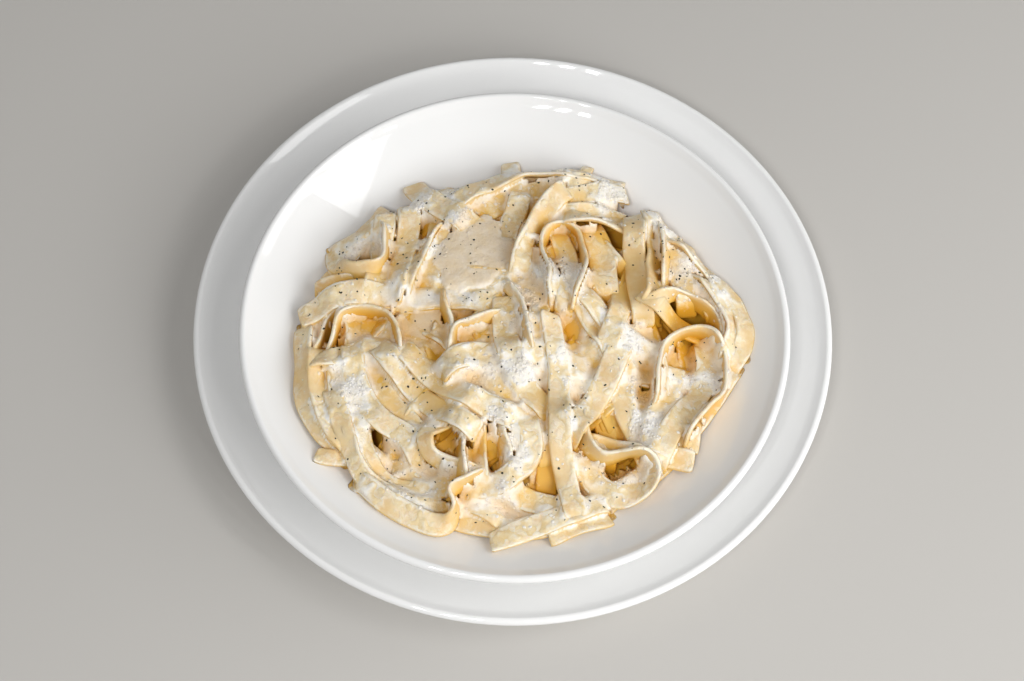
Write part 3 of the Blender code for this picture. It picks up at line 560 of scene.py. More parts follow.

# %% [markdown]
# ## Routes
#
# Each line is one ribbon, in the order in which they fell. The points are x and y in millimetres
# from the bowl's middle, with +y to the back, and then, where it changes, the angle by which the
# left edge is raised. After the route come the width as a share of the usual one and how far the
# ribbon sinks between its neighbours. Only these were drawn.

# %% Routes of the ribbons that show
RIBBONS = (
    # Back of the heap
    (((-38, 62), (-30, 60), (-21, 59), (-12, 52)), 0.8, 1),
    (((-3, 69), (-3.5, 77), (-4, 84)), 0.9, 0),
    (((22, 68), (27, 76), (30, 82)), 0.6, 0),
    (((-12, 55), (-2, 61), (9, 65), (21, 67)), 1, 1),
    (((-25, 57, -20), (-14, 65), (-4, 69.5), (8, 72.5), (22, 73), (35, 72.5), (45, 71)), 1, 0),
    (((1, 62), (-1, 53), (-4, 44), (-5, 36)), 1, 0),
    (((14, 57), (22, 60), (31, 63.5), (40, 66), (47, 67)), 1, 0),
    # Left shoulder
    (((-75, 36), (-67, 41), (-61, 48), (-56, 56)), 1, 0),
    (((-84, 15, 50), (-76, 17), (-67, 17), (-57, 16)), 1, 1),
    (((-56, 51), (-56.5, 42), (-57, 33), (-57, 25), (-58, 17)), 1, 0),
    (((-77, 36, 10), (-76, 28, 25), (-71, 21.5, 60), (-64, 19.5, 75), (-58, 21), (-55, 28), (-55, 38)),
     1, 3),
    (((-47, 57, 0), (-46, 47), (-46.5, 37), (-47.5, 27, 30), (-49, 17, 50)), 1, 1),
    (((-33, 45), (-34, 34), (-35, 25), (-38, 16)), 1, 0),
    (((-35, 43, 50), (-39, 34), (-42, 26), (-45, 16)), 0.8, 4),
    (((-46, 71), (-41, 62), (-33, 54), (-24, 48), (-15, 42)), 1.1, 0),
    (((-83, 12, 30), (-72, 13), (-62, 14), (-50, 15)), 0.7, 1),
    # Left side and the pocket beside it
    (((-67, 3, -20), (-66, -7), (-66, -18)), 0.9, 2),
    (((-60, 0), (-60, -9), (-60, -18)), 0.8, 2),
    (((-42, 5), (-40, -5), (-36, -18)), 1, 2),
    (((-87, -3, 35), (-86.5, -16), (-85, -30), (-82, -41), (-76, -50), (-68, -57)), 1, 0),
    (((-78, -60), (-70, -61), (-62, -60)), 0.7, 1),
    (((-81, -14, 70), (-78.5, -4), (-76, 1), (-71, 4.5), (-62, 5)), 0.9, 4),
    (((-76, -17, 80), (-74, -6), (-72, 0), (-67, 3), (-60, 3.5), (-53, 2), (-50, -3), (-48, -10),
      (-46, -18)), 1, 4),
    (((-89, 1), (-82, 4.5), (-73, 9, 25), (-62, 10, 15), (-50, 8.5, 0), (-38, 8.5), (-26, 9), (-13, 8)),
     1.1, 0),
    # Lower left
    (((-80, -18), (-79, -30), (-76, -40), (-71, -50), (-64, -57)), 1, 1),
    (((-72, -22), (-70, -34), (-66, -45), (-62, -54), (-54, -62)), 1, 0),
    (((-44, -48), (-43, -58), (-42, -67), (-35, -74)), 1, 1),
    (((-60, -46), (-58, -57), (-54, -66), (-46, -72), (-36, -74)), 0.8, 0),
    (((-72, -36, 15), (-68, -48), (-64, -59), (-58, -69), (-49, -76), (-38, -81), (-29, -82)), 0.9, 0),
    (((-80, -20), (-71, -18), (-62, -14), (-53, -13)), 0.9, 0),
    (((-57, -15), (-55, -28), (-50, -37), (-42, -46), (-34, -56)), 1.1, 0),
    (((-66, -16), (-64, -27), (-59, -38), (-52, -46), (-42, -52), (-36, -61)), 1, 0),
    # Bottom edge
    (((16, -92), (25, -87), (34, -84), (40, -82)), 0.8, 1),
    (((-22, -75), (-15, -79), (-6, -84)), 0.7, 0),
    (((-30, -73), (-20, -70), (-9, -70), (2, -74), (10, -77), (20, -79)), 1, 0),
    (((-57, -73, 20), (-48, -80), (-39, -85), (-30, -88.5), (-23.5, -88, 60), (-21, -82, 80), (-23, -76),
      (-18, -72)), 1, 0),
    (((-7, -95), (3, -90.5), (13, -86.5), (24, -82), (34, -77)), 1, 0),
    # Coil and the strips beside it
    (((-30, -57), (-25, -54), (-21, -49)), 0.5, 0),
    (((-19, -45, 40), (-27, -48), (-34, -52), (-33, -59), (-27, -63), (-18, -66)), 0.8, 0),
    (((-21, -45, 75), (-20, -56), (-19, -67)), 0.8, 3),
    (((-14, -44, 30), (-13, -55), (-12, -67)), 0.8, 1),
    (((-5, -49, 50), (-2, -58), (-3, -67)), 0.8, 1),
    # Lower right
    (((73, -37), (73, -45), (72, -53)), 0.7, 0),
    (((66, -38), (67, -45), (66, -52)), 0.7, 1),
    (((73, -58), (64, -56), (55, -53)), 1, 0),
    (((36, -39), (38, -47), (38, -55)), 0.9, 2),
    (((47, -12), (45, -24), (45, -36), (50, -47), (54, -56)), 1.05, 0),
    (((66, -17), (64, -26), (60, -35), (57, -44), (57, -55)), 1, 0),
    (((79, -8), (79, -18), (76, -28), (70, -36), (64, -45), (60, -55)), 1, 0),
    (((33, -52, 40), (43, -54), (55, -56)), 0.7, 1),
    (((28, -46, 60), (30, -54), (36, -59, 75), (44, -58, 80), (52, -57.5), (56.5, -60.5), (56, -66, 50),
      (51, -71, 20), (43, -73.5, 0), (35, -69), (29, -61), (23, -51)), 1, 1),
    # Middle, from the pocket across to the right
    (((-24, -27), (-16, -27), (-8, -30), (-1, -36)), 1, 0),
    (((-54, -15), (-47, -24), (-39, -33), (-30, -41), (-21, -47)), 1, 0),
    (((-42, -18), (-32, -27), (-21, -35), (-9, -41), (3, -46), (11, -51), (15, -58)), 1.1, 0),
    (((7, -48), (8, -57), (4, -65), (-4, -71), (-14, -73)), 0.95, 0),
    (((-29, 4, 75), (-26.5, -6), (-25.5, -14), (-27, -23)), 0.8, 3),
    (((-25, -16, 70), (-24, -6), (-18, -3), (-11, 0)), 0.8, 2),
    (((4, 3, 20), (5, -6), (6, -15)), 0.8, 1),
    (((-27, -24), (-18, -18.5), (-7, -17.5), (4, -18), (15, -19), (27, -20)), 1.2, 0),
    (((20, 6, 30), (24, -3), (29, -12), (34, -20)), 0.9, 3),
    (((11, 9), (9.5, 2), (8, -6), (7.5, -15)), 0.95, 0),
    (((-5, 10), (-4.5, 0), (-3.5, -10), (0, -21), (5, -31), (13, -39)), 1.05, 0),
    (((-13, 26), (-4, 20), (5, 15.5), (14, 13.5), (24, 10), (34, 6)), 1, 0),
    (((-3, 14, 60), (1, 8), (3.5, 0), (5, -9)), 0.6, 2),
    (((26, 8), (32, -3), (38, -12), (45, -20)), 0.9, 0),
    (((42, -15), (38, -25), (33, -35), (28, -44), (22, -52)), 1.05, 0),
    (((14, 1), (16, -11), (18, -22), (18.5, -33), (19, -44), (19.5, -55), (22, -67), (25, -80)), 0.95, 0),
    (((31, 7), (39, -2), (48, -8), (57, -13)), 1, 0),
    (((45, 21), (44, 11), (42, 2), (39, -7)), 1, 0),
    # Nest at the upper right
    (((4, 33), (8, 26), (13, 19), (20, 13)), 1, 0),
    (((17, 52), (26, 53), (36, 53.5), (46, 51), (53, 46)), 0.9, 0),
    (((31, 45), (35, 36), (36, 27), (37, 17)), 1.2, 0),
    (((21, 11), (22, 20), (21, 30), (18, 40)), 0.9, 0),
    (((2, 27, 40), (3.5, 36), (7, 45), (12, 53), (17, 59)), 1, 0),
    (((24, 49, -50), (33, 48.5), (42, 47), (51, 43)), 0.8, 1),
    (((16, 13, 50), (13, 25, 70), (10.5, 34, 80), (13, 43), (19, 46.5), (25, 43), (27.5, 34), (27.5, 24),
      (25, 13)), 0.9, 3),
    # Right shoulder
    (((49, 52, 30), (49, 38), (50, 24), (52, 8)), 1, 0),
    (((72, 38, -25), (74, 28), (77, 20), (81, 13)), 1, 0),
    (((66, 46, -25), (67, 34), (68, 24), (70, 15)), 1, 0),
    (((56, 58, -20), (57, 44), (57.5, 30), (57, 17), (55, 6)), 1, 0),
    (((61, 48, -60), (62.5, 36), (62, 24), (61.5, 14), (58, 4)), 0.8, 3),
    (((60, 7), (67, 3), (75, 0), (83, -2)), 0.8, 1),
    (((70, 36, -30), (77, 30), (85, 22), (91.5, 13), (95, 3), (94, -6), (90, -13)), 0.9, 0),
    (((76, 24, -60), (82, 17), (87, 9), (89, 1), (88, -7)), 0.8, 2),
    (((61, 11, 50), (67, 14), (75, 12.5), (81.5, 8), (84, 1), (82, -5)), 0.9, 2),
    (((59, -26, 80), (60, -14), (64, -6), (70, -1.5), (78, -1), (84, -6), (86.5, -14), (85.5, -24),
      (80, -34), (74, -42)), 1, 3),
)
print(len(RIBBONS), "ribbons drawn by hand")


# %% Hem: the lowest ribbons follow the outline all round
HEM_RIBBONS = 6
HEM_ARC = 48.0                    # degrees of the outline that each follows
HEM_START_STRAY = 6.0             # degrees either way
HEM_INSET = (4.0, 7.0)            # how far inside the outline it runs
HEM_STRAY = 3.0                   # and how much further in each of its points may lie


def hem_routes():
    """Routes along the outline, in the form of those above."""
    draw = random.Random(4)
    routes = []
    for number in range(HEM_RIBBONS):
        start = 360.0 / HEM_RIBBONS * number + draw.uniform(-HEM_START_STRAY, HEM_START_STRAY)
        inset = draw.uniform(*HEM_INSET)
        points = []
        for step in range(4):
            angle = math.radians(start + HEM_ARC * step / 3)
            radius = float(outline_radius(np.array(angle))) - inset - draw.uniform(0.0, HEM_STRAY)
            points.append((radius * math.cos(angle), radius * math.sin(angle)))
        routes.append((tuple(points), 1, 0))
    return routes


hem = hem_routes()
print(len(hem), "ribbons in the hem")

# %% [markdown]
# ## A ribbon's own form
#
# Cooked tagliatelle isn't a plain strip. Its edges are rounded and ruffle a little, its middle
# sags into a shallow trough, its width wanders by a few parts in a hundred, and its ends are cut
# slightly askew. Each ribbon gets its own draw of these, from a seeded generator. The section is a
# loop of 14 points, swept along the settled centre line in steps of 0.84 mm.

# %% Section of a ribbon
TOP_POINTS = 5
EDGE_POINTS = 3
UNDER_POINTS = 3


def section_loop(width):
    """Points (across, up) round a ribbon's section, with round edges."""
    half = RIBBON_THICKNESS / 2
    flat = width / 2 - half
    loop = [(a, half) for a in np.linspace(flat, -flat, TOP_POINTS)]
    turn = np.radians(np.linspace(90.0, 270.0, EDGE_POINTS + 2)[1:-1])
    loop += [(-flat + half * math.cos(t), half * math.sin(t)) for t in turn]
    loop += [(a, -half) for a in np.linspace(-flat, flat, UNDER_POINTS)]
    loop += [(flat - half * math.cos(t), -half * math.sin(t)) for t in turn]
    return np.array(loop)


print("section:", len(section_loop(RIBBON_WIDTH)), "points")

# %% Stations for the sweep
FINE_STEP = 0.84


def resample(values, count):
    """Cubic reading of a settled ribbon at more stations, so that its bends are round."""
    new = np.linspace(0, len(values) - 1, count)
    index = np.clip(new.astype(int), 0, len(values) - 2)
    t = (new - index)[:, None]
    padded = np.vstack([2 * values[0] - values[1], values, 2 * values[-1] - values[-2]])
    before, start, end, after = (padded[index + k] for k in range(4))
    return 0.5 * (2 * start + (end - before) * t + (2 * before - 5 * start + 4 * end - after) * t ** 2
                  + (3 * start - before - 3 * end + after) * t ** 3)


def unit(vectors):
    """The same directions, each 1 long."""
    return vectors / np.linalg.norm(vectors, axis=1)[:, None]


def swell(along, draw, lengths):
    """A slow wave between -1 and 1 along a ribbon, of random length and start."""
    return np.sin(along / draw.uniform(*lengths) + draw.uniform(0, 6))


print("stations on 100 mm of a ribbon:", int(100.0 / FINE_STEP))

# %% Twist, ruffle and cut a ribbon
TWISTS = (((0.05, 0.17), (4.0, 7.0)), ((0.02, 0.09), (1.9, 2.8)))  # slow and quick: radians, lengths
LIFT = ((0.1, 0.4), (3.0, 5.0))   # rise and fall of the whole ribbon: height, length
RUFFLE = 0.45                     # height of the waves along the edges,
RUFFLE_SHARES = (0.3, 1.0)        # and how much of it an edge gets
RUFFLE_LENGTHS = (3.0, 5.5)
RUFFLE_EDGE = 2.5                 # power by which the waves keep to the edges
TROUGH = 0.16                     # how far the middle lies below the edges,
TROUGH_SHARES = (0.3, 1.3)        # and how much of it a ribbon gets
TROUGH_LEVEL = 0.4                # lowers it all, so that its mean height hardly changes
WANDER = 0.035                    # share by which the width changes along the ribbon
WANDER_LENGTHS = (5, 12)
CORNER = 0.14                     # share of the width that its corners are rounded by
CORNER_REACH = 0.7
ASKEW = 14.0                      # degrees that a cut end may lean
ASKEW_REACH = 3.0


def ruffled(centre, side, up, along, draw):
    """Twist a ribbon a little along its length, and let it rise and fall."""
    tilt = sum(draw.uniform(*amounts) * swell(along, draw, lengths) for amounts, lengths in TWISTS)
    side, up = (side * np.cos(tilt)[:, None] + up * np.sin(tilt)[:, None],
                up * np.cos(tilt)[:, None] - side * np.sin(tilt)[:, None])
    lift = draw.uniform(*LIFT[0]) * swell(along, draw, LIFT[1])
    return centre + up * lift[:, None], side, up


def sections(centre, side, up, along, width, draw):
    """The section's points at each station, and their places across, from -1 to 1."""
    forward = unit(np.gradient(centre, axis=0))
    loop = section_loop(width)
    across = loop[:, 0][None, :]
    share = across / (width / 2)
    to_end = along[-1] - along
    wander = (1.0 + WANDER * swell(along, draw, WANDER_LENGTHS)
              - CORNER * (np.exp(-along / CORNER_REACH) + np.exp(-to_end / CORNER_REACH)))[:, None]
    trough = TROUGH * draw.uniform(*TROUGH_SHARES) * (share ** 2 - TROUGH_LEVEL)
    waves = 0.0
    for edge in (-1.0, 1.0):
        wave = swell(along, draw, RUFFLE_LENGTHS) * draw.uniform(*RUFFLE_SHARES)
        waves = waves + RUFFLE * wave[:, None] * np.clip(edge * share, 0.0, 1.0) ** RUFFLE_EDGE
    lean = np.tan(np.radians(draw.uniform(-ASKEW, ASKEW, 2)))
    pull = (np.exp(-along / ASKEW_REACH)[:, None] * lean[0]
            + np.exp(-to_end / ASKEW_REACH)[:, None] * lean[1])
    rise = loop[:, 1][None, :] + trough + waves
    points = (centre[:, None, :] + side[:, None, :] * (across * wander)[:, :, None]
              + up[:, None, :] * rise[:, :, None] + forward[:, None, :] * (across * pull)[:, :, None])
    return points, share, forward


# %% Sweep a section along a settled ribbon
END_BULGE = 0.35                  # how far the middle of a cut end stands out


def strip_faces(count, ring):
    """Quads between count rings of points, and the fans that close the first and the last."""
    corner = np.arange(ring)
    around = (corner + 1) % ring
    starts = np.arange(count - 1)[:, None] * ring
    here, after = starts + corner, starts + around
    quads = np.stack([here, after, after + ring, here + ring], axis=2).reshape(-1, 4)
    first, last = count * ring, count * ring + 1
    base = (count - 1) * ring
    start_cap = np.stack([around, corner, np.full(ring, first)], axis=1)
    end_cap = np.stack([base + corner, base + around, np.full(ring, last)], axis=1)
    return quads, np.vstack([start_cap, end_cap])


def sweep(centre, side, up, width, draw, step=FINE_STEP):
    """Vertices, faces and (along, across) coordinates of one ribbon."""
    length = np.linalg.norm(np.diff(centre, axis=0), axis=1).sum()
    count = max(6, int(length / step))
    centre = smoothed(resample(centre, count), 2)
    side = unit(smoothed(resample(side, count), 2))
    up = resample(up, count)
    up = unit(up - side * (up * side).sum(axis=1)[:, None])
    along = np.linspace(0.0, length, count)
    centre, side, up = ruffled(centre, side, up, along, draw)
    points, share, forward = sections(centre, side, up, along, width, draw)
    first = points[0].mean(axis=0) - forward[0] * END_BULGE
    last = points[-1].mean(axis=0) + forward[-1] * END_BULGE
    vertices = np.vstack([points.reshape(-1, 3), first, last])
    quads, caps = strip_faces(count, points.shape[1])
    coordinates = np.stack([np.broadcast_to(along[:, None], points.shape[:2]),
                            np.broadcast_to(share, points.shape[:2])], axis=2).reshape(-1, 2)
    return vertices, quads, caps, np.vstack([coordinates, [[0.0, 0.0], [length, 0.0]]])


# %% [markdown]
# ## Where the ribbons end
#
# A portion of tagliatelle is made of ribbons 200 mm long or more, so few ends show. Where a route
# stops because other ribbons hide the rest, the ribbon runs on for a centimetre and dives into the
# heap. Only the ends that show as cut in the photo stay where their routes stop.

# %% Tuck the hidden ends in
TUCK_STEPS = 7                    # stations of STATION_STEP
TUCK_BEND = 4.0                   # stations over which it bends
TUCK_PITCH = 62.0                 # degrees below the ribbon's own line at its steepest
# The routes above, counted from 0, whose start or end shows as cut
CUT_STARTS = (5, 8, 9, 10, 11, 14, 15, 19, 20, 23, 32, 36, 44, 47, 60, 61, 66, 68, 79)
CUT_ENDS = (1, 2, 4, 6, 7, 32, 42, 43)


def tuck_end(centre, side, up):
    """Add stations past the last one that bend down into the heap."""
    forward = centre[-1] - centre[-4]
    forward = forward / np.linalg.norm(forward)
    down = np.array([0.0, 0.0, -1.0])
    down = down - forward * (down @ forward)
    down = down / np.linalg.norm(down)
    places, sides, ups = [centre[-1]], [], []
    for step in range(1, TUCK_STEPS + 1):
        pitch = math.radians(TUCK_PITCH) * min(1.0, step / TUCK_BEND)
        heading = forward * math.cos(pitch) + down * math.sin(pitch)
        places.append(places[-1] + heading * STATION_STEP)
        across = side[-1] - heading * (side[-1] @ heading)
        across = across / np.linalg.norm(across)
        above = np.cross(heading, across)
        sides.append(across)
        ups.append(above if above @ up[-1] > 0.0 else -above)
    return np.vstack([centre, places[1:]]), np.vstack([side, sides]), np.vstack([up, ups])


def tucked(centre, side, up, at_start, at_end):
    """A settled ribbon with its hidden ends tucked in."""
    if at_end:
        centre, side, up = tuck_end(centre, side, up)
    if at_start:
        centre, side, up = (v[::-1] for v in tuck_end(centre[::-1], side[::-1], up[::-1]))
    return centre, side, up


print("ends that show:", len(CUT_STARTS) + len(CUT_ENDS), "of", 2 * len(RIBBONS))

# %% Keep a heap of ribbons as one mesh
PORCELAIN_GAP = 0.25              # no ribbon comes nearer to the porcelain
FROM_BOWL = np.array([*BOWL_SHIFT, 0.0])  # added to a place from the bowl's middle


class Heap:
    """Collects ribbons, and makes one mesh of them with their own coordinates."""

    def __init__(self):
        self.vertices, self.quads, self.caps, self.marks = [], [], [], []
        self.total = 0

    def add(self, vertices, quads, caps, coordinates, number):
        """Keep one ribbon, lifted off the porcelain where it would touch it."""
        rest = bowl_inside(np.hypot(vertices[:, 0], vertices[:, 1])) + PORCELAIN_GAP
        vertices[:, 2] = np.maximum(vertices[:, 2], rest)
        self.vertices.append(vertices)
        self.quads.append(quads + self.total)
        self.caps.append(caps + self.total)
        self.marks.append(np.column_stack([coordinates, np.full(len(vertices), float(number))]))
        self.total += len(vertices)

    def faces(self):
        """Every face, as lists of indices."""
        return np.vstack(self.quads).tolist() + np.vstack(self.caps).tolist()

    def make(self, name):
        """The mesh as an object, its points from the bowl's middle, and each point's marks."""
        points = np.vstack(self.vertices)
        return new_piece(name, points + FROM_BOWL, self.faces()), points, np.vstack(self.marks)


# %% [markdown]
# ## The ribbons that show
#
# Now every route falls in its turn, first the hem round the edge and then the ribbons listed above,
# and each is swept into its own closed form. They stay separate ribbons that touch, which is what a
# heap is, but they are kept as one mesh, so that they share one material.

# %% Lay the ribbons
ground = Ground()
strands = []
for number, (points, share, sink) in enumerate(hem + list(RIBBONS)):
    centre, side, up = settle(points, RIBBON_WIDTH * share, sink, ground)
    drawn = number - len(hem)
    centre, side, up = tucked(centre, side, up, drawn not in CUT_STARTS, drawn not in CUT_ENDS)
    strands.append((centre, side, up, RIBBON_WIDTH * share))

draw = np.random.default_rng(7)
ribbons = Heap()
for number, (centre, side, up, width) in enumerate(strands):
    ribbons.add(*sweep(centre, side, up, width, draw), number)
print("ribbons:", len(strands), "with", ribbons.total, "vertices")

# %% [markdown]
# ## The ribbons beneath
#
# Between the top ribbons the eye looks into the heap and sees more pasta. A second, lower layer of
# ribbons is scattered there by a seeded rule: arcs of random place, direction and bend, settled on
# a lower floor in the same way. They are seen only through gaps, so they take a coarser step.

# %% Lay the lower ribbons
LOWER_DROP = 6.0                  # how far the lower floor lies under the solid core's top
LOWER_RIBBONS = 60
LOWER_LENGTHS = (45.0, 85.0)
LOWER_WIDTHS = (0.85, 1.05)       # share of the usual width
LOWER_SINKS = (0.0, 1.5)          # how far such a ribbon sinks between its neighbours
LOWER_LEGS = 5                    # parts of a route between its points
LOWER_BEND = 2.2                  # radians that such a ribbon may turn over its length
LOWER_BANK = 25.0                 # degrees that it may lean either way
LOWER_START = 14.0                # its start stays this far inside the heap's outline
LOWER_INSET = 9.0                 # and the rest of it this far
LOWER_STEP = 1.4
LOWER_UNDER_CORE = 0.5            # how far its middle stays under the solid core's top
LOWER_FIRST = 200                 # number of the first, past those of the ribbons above


def lower_routes(draw):
    """Arcs of random place, direction and bend that stay inside the heap's outline."""
    routes = []
    while len(routes) < LOWER_RIBBONS:
        turn = draw.uniform(0.0, 2.0 * math.pi)
        reach = float(outline_radius(np.array(turn))) - LOWER_START
        radius = reach * math.sqrt(draw.uniform(0.0, 1.0))
        x, y = radius * math.cos(turn), radius * math.sin(turn)
        heading = draw.uniform(0.0, 2.0 * math.pi)
        bend = draw.uniform(-LOWER_BEND, LOWER_BEND) / LOWER_LEGS
        length = draw.uniform(*LOWER_LENGTHS)
        points = [(x, y, draw.uniform(-LOWER_BANK, LOWER_BANK))]
        for _ in range(LOWER_LEGS):
            heading += bend
            x += math.cos(heading) * length / LOWER_LEGS
            y += math.sin(heading) * length / LOWER_LEGS
            if math.hypot(x, y) > float(outline_radius(np.array(math.atan2(y, x)))) - LOWER_INSET:
                break
            points.append((x, y))
        if len(points) >= 4:
            routes.append(tuple(points))
    return routes


draw = np.random.default_rng(21)
low_ground = Ground(drop=LOWER_DROP)
lower = Heap()
for number, points in enumerate(lower_routes(draw)):
    width = RIBBON_WIDTH * draw.uniform(*LOWER_WIDTHS)
    centre, side, up = settle(points, width, draw.uniform(*LOWER_SINKS), low_ground)
    ceiling = core_top(centre[:, 0], centre[:, 1]) - LOWER_UNDER_CORE
    centre[:, 2] = np.minimum(centre[:, 2], ceiling)
    centre, side, up = tucked(centre, side, up, True, True)
    lower.add(*sweep(centre, side, up, width, draw, step=LOWER_STEP), LOWER_FIRST + number)
print("lower ribbons:", LOWER_RIBBONS, "with", lower.total, "vertices")

# %% [markdown]
# ## The core
#
# Under both layers lies what the eye never quite sees: more of the same. A plain cushion of pasta
# stands in for it, so that no light comes through the heap from the porcelain. It starts as a
# sphere, whose upper half is pulled to just below the lower ribbons and whose lower half is laid
# into the bowl.

# %% Core
CUSHION_DROP = 7.5                # how far it lies below the solid core's top
CUSHION_INSET = 10.0              # and inside the heap's outline
CUSHION_BASE = 1.0                # and over the porcelain
CUSHION_RIM = 0.5                 # its least height, at the rim

bpy.ops.object.select_all(action="DESELECT")
bpy.ops.mesh.primitive_uv_sphere_add(segments=72, ring_count=24, radius=1.0, location=(0.0, 0.0, 0.0))
core = bpy.context.object
core.name = "pasta_core"
for vertex in core.data.vertices:
    turn = math.atan2(vertex.co.y, vertex.co.x)
    reach = float(outline_radius(np.array(turn))) - CUSHION_INSET
    out = min(1.0, math.hypot(vertex.co.x, vertex.co.y)) * reach
    x, y = out * math.cos(turn), out * math.sin(turn)
    base = float(bowl_inside(out)) + CUSHION_BASE
    top = max(float(core_top(x, y)) - CUSHION_DROP, base + CUSHION_RIM)
    z = top if vertex.co.z > 1e-6 else base
    vertex.co = ((x + BOWL_SHIFT[0]) * MM, (y + BOWL_SHIFT[1]) * MM, z * MM)
bpy.ops.object.shade_smooth()
print("core:", len(core.data.polygons), "faces,", [round(side / MM) for side in core.dimensions], "mm")

# %% [markdown]
# ## A map of the heap from above
#
# Sauce bridges narrow gaps and thins out over edges, so it needs to know the heap's shape. A map
# does that: a ray is dropped at every 0.7 mm, and the height of the first thing it meets is kept.
# A few small functions then spread, blur and read such a map. The first map made with them is an
# envelope: the heap closed over its gaps and smoothed. It tells how deep in the heap a point lies.

# %% Drop rays on the heap
MAP_CELL = 0.7
MAP_REACH = 105.0
RAY_START = 90.0                  # height above everything, from which a ray drops
DOWN = Vector((0.0, 0.0, -1.0))
CUSHION_SHOWS = 14.0              # the cushion counts this far inside the outline

line = np.arange(-MAP_REACH, MAP_REACH + MAP_CELL, MAP_CELL)
map_x, map_y = np.meshgrid(line, line)


def tree_of(*heaps):
    """A tree for ray casts on heaps of ribbons, from the bowl's middle."""
    points, faces, start = [], [], 0
    for heap in heaps:
        vertices = np.vstack(heap.vertices)
        points.append(vertices)
        faces += [[index + start for index in face] for face in heap.faces()]
        start += len(vertices)
    return BVHTree.FromPolygons(np.vstack(points).tolist(), faces)


def drop_rays(tree, x, y):
    """Height of the first thing under each point, or of the porcelain."""
    rest = bowl_inside(np.hypot(x, y)).ravel()
    for index, (px, py) in enumerate(zip(x.ravel().tolist(), y.ravel().tolist())):
        place = tree.ray_cast(Vector((px, py, RAY_START)), DOWN)[0]
        if place is not None:
            rest[index] = max(rest[index], place.z)
    return rest.reshape(x.shape)


top = drop_rays(tree_of(ribbons, lower), map_x, map_y)
from_middle = np.hypot(map_x, map_y)
outline = outline_radius(np.arctan2(map_y, map_x))
cushion = core_top(map_x, map_y) - CUSHION_DROP
top = np.where(from_middle < outline - CUSHION_SHOWS, np.maximum(top, cushion), top)
print("map:", top.shape, "highest", round(float(top.max()), 1))

# %% Spread, blur and read a map
BLUR_REACH = 2.5                  # standard deviations that a blur looks away
LATTICE = 256                     # random values along a side, after which a cloud repeats
TURN_COS, TURN_SIN = 0.8, 0.6     # the lattice is turned, so that its rows don't follow x and y,
OFFSET = 500.0                    # and shifted, so that no place falls below its start


def spread(field, radius, pick):
    """The highest or lowest value within a radius, as pick is np.maximum or np.minimum."""
    cells = int(radius / MAP_CELL)
    found = field
    for row in range(-cells, cells + 1):
        for column in range(-cells, cells + 1):
            if math.hypot(row, column) * MAP_CELL <= radius:
                found = pick(found, np.roll(field, (row, column), (0, 1)))
    return found


def blurred(field, size):
    """Gaussian blur; size is its standard deviation in millimetres."""
    reach = int(math.ceil(BLUR_REACH * size / MAP_CELL))
    steps = np.arange(-reach, reach + 1)
    weights = np.exp(-0.5 * (steps * MAP_CELL / size) ** 2)
    weights /= weights.sum()
    for axis in (0, 1):
        field = sum(weight * np.roll(field, step, axis) for weight, step in zip(weights, steps))
    return field


def cloud(x, y, size, seed):
    """Smooth random swells between -1 and 1, with size millimetres from one to the next."""
    lattice = np.random.default_rng(seed).uniform(-1.0, 1.0, (LATTICE, LATTICE))
    u = (TURN_COS * x + TURN_SIN * y) / size + OFFSET
    v = (TURN_COS * y - TURN_SIN * x) / size + OFFSET
    column, row = np.floor(u).astype(int), np.floor(v).astype(int)
    s, t = u - column, v - row
    s, t = s * s * (3 - 2 * s), t * t * (3 - 2 * t)
    corner = [[lattice[(row + j) % LATTICE, (column + i) % LATTICE] for i in (0, 1)] for j in (0, 1)]
    return ((corner[0][0] * (1 - s) + corner[0][1] * s) * (1 - t)
            + (corner[1][0] * (1 - s) + corner[1][1] * s) * t)


def clouds(kinds, x, y, start=0.0):
    """A sum of clouds of (size, weight, seed), added to what it starts from."""
    return sum((weight * cloud(x, y, size, seed) for size, weight, seed in kinds), start)


def read_map(field, x, y):
    """A map's value at the cell nearest to each point."""
    return field[nearest(x, y, MAP_REACH, MAP_CELL, len(field))]


print("the map at the bowl's middle:", round(float(read_map(top, np.array(0.0), np.array(0.0))), 1), "mm")

# %% Envelope
ENVELOPE_OUT = 7.2                # half the width of the gaps that it closes over
ENVELOPE_IN = 5.4                 # and how far it shrinks back after that
ENVELOPE_BLUR = 5.0

closed_over = spread(spread(top, ENVELOPE_OUT, np.maximum), ENVELOPE_IN, np.minimum)
envelope = blurred(closed_over, ENVELOPE_BLUR)
print("envelope over the top, on average:", round(float((envelope - top).mean()), 2), "mm")
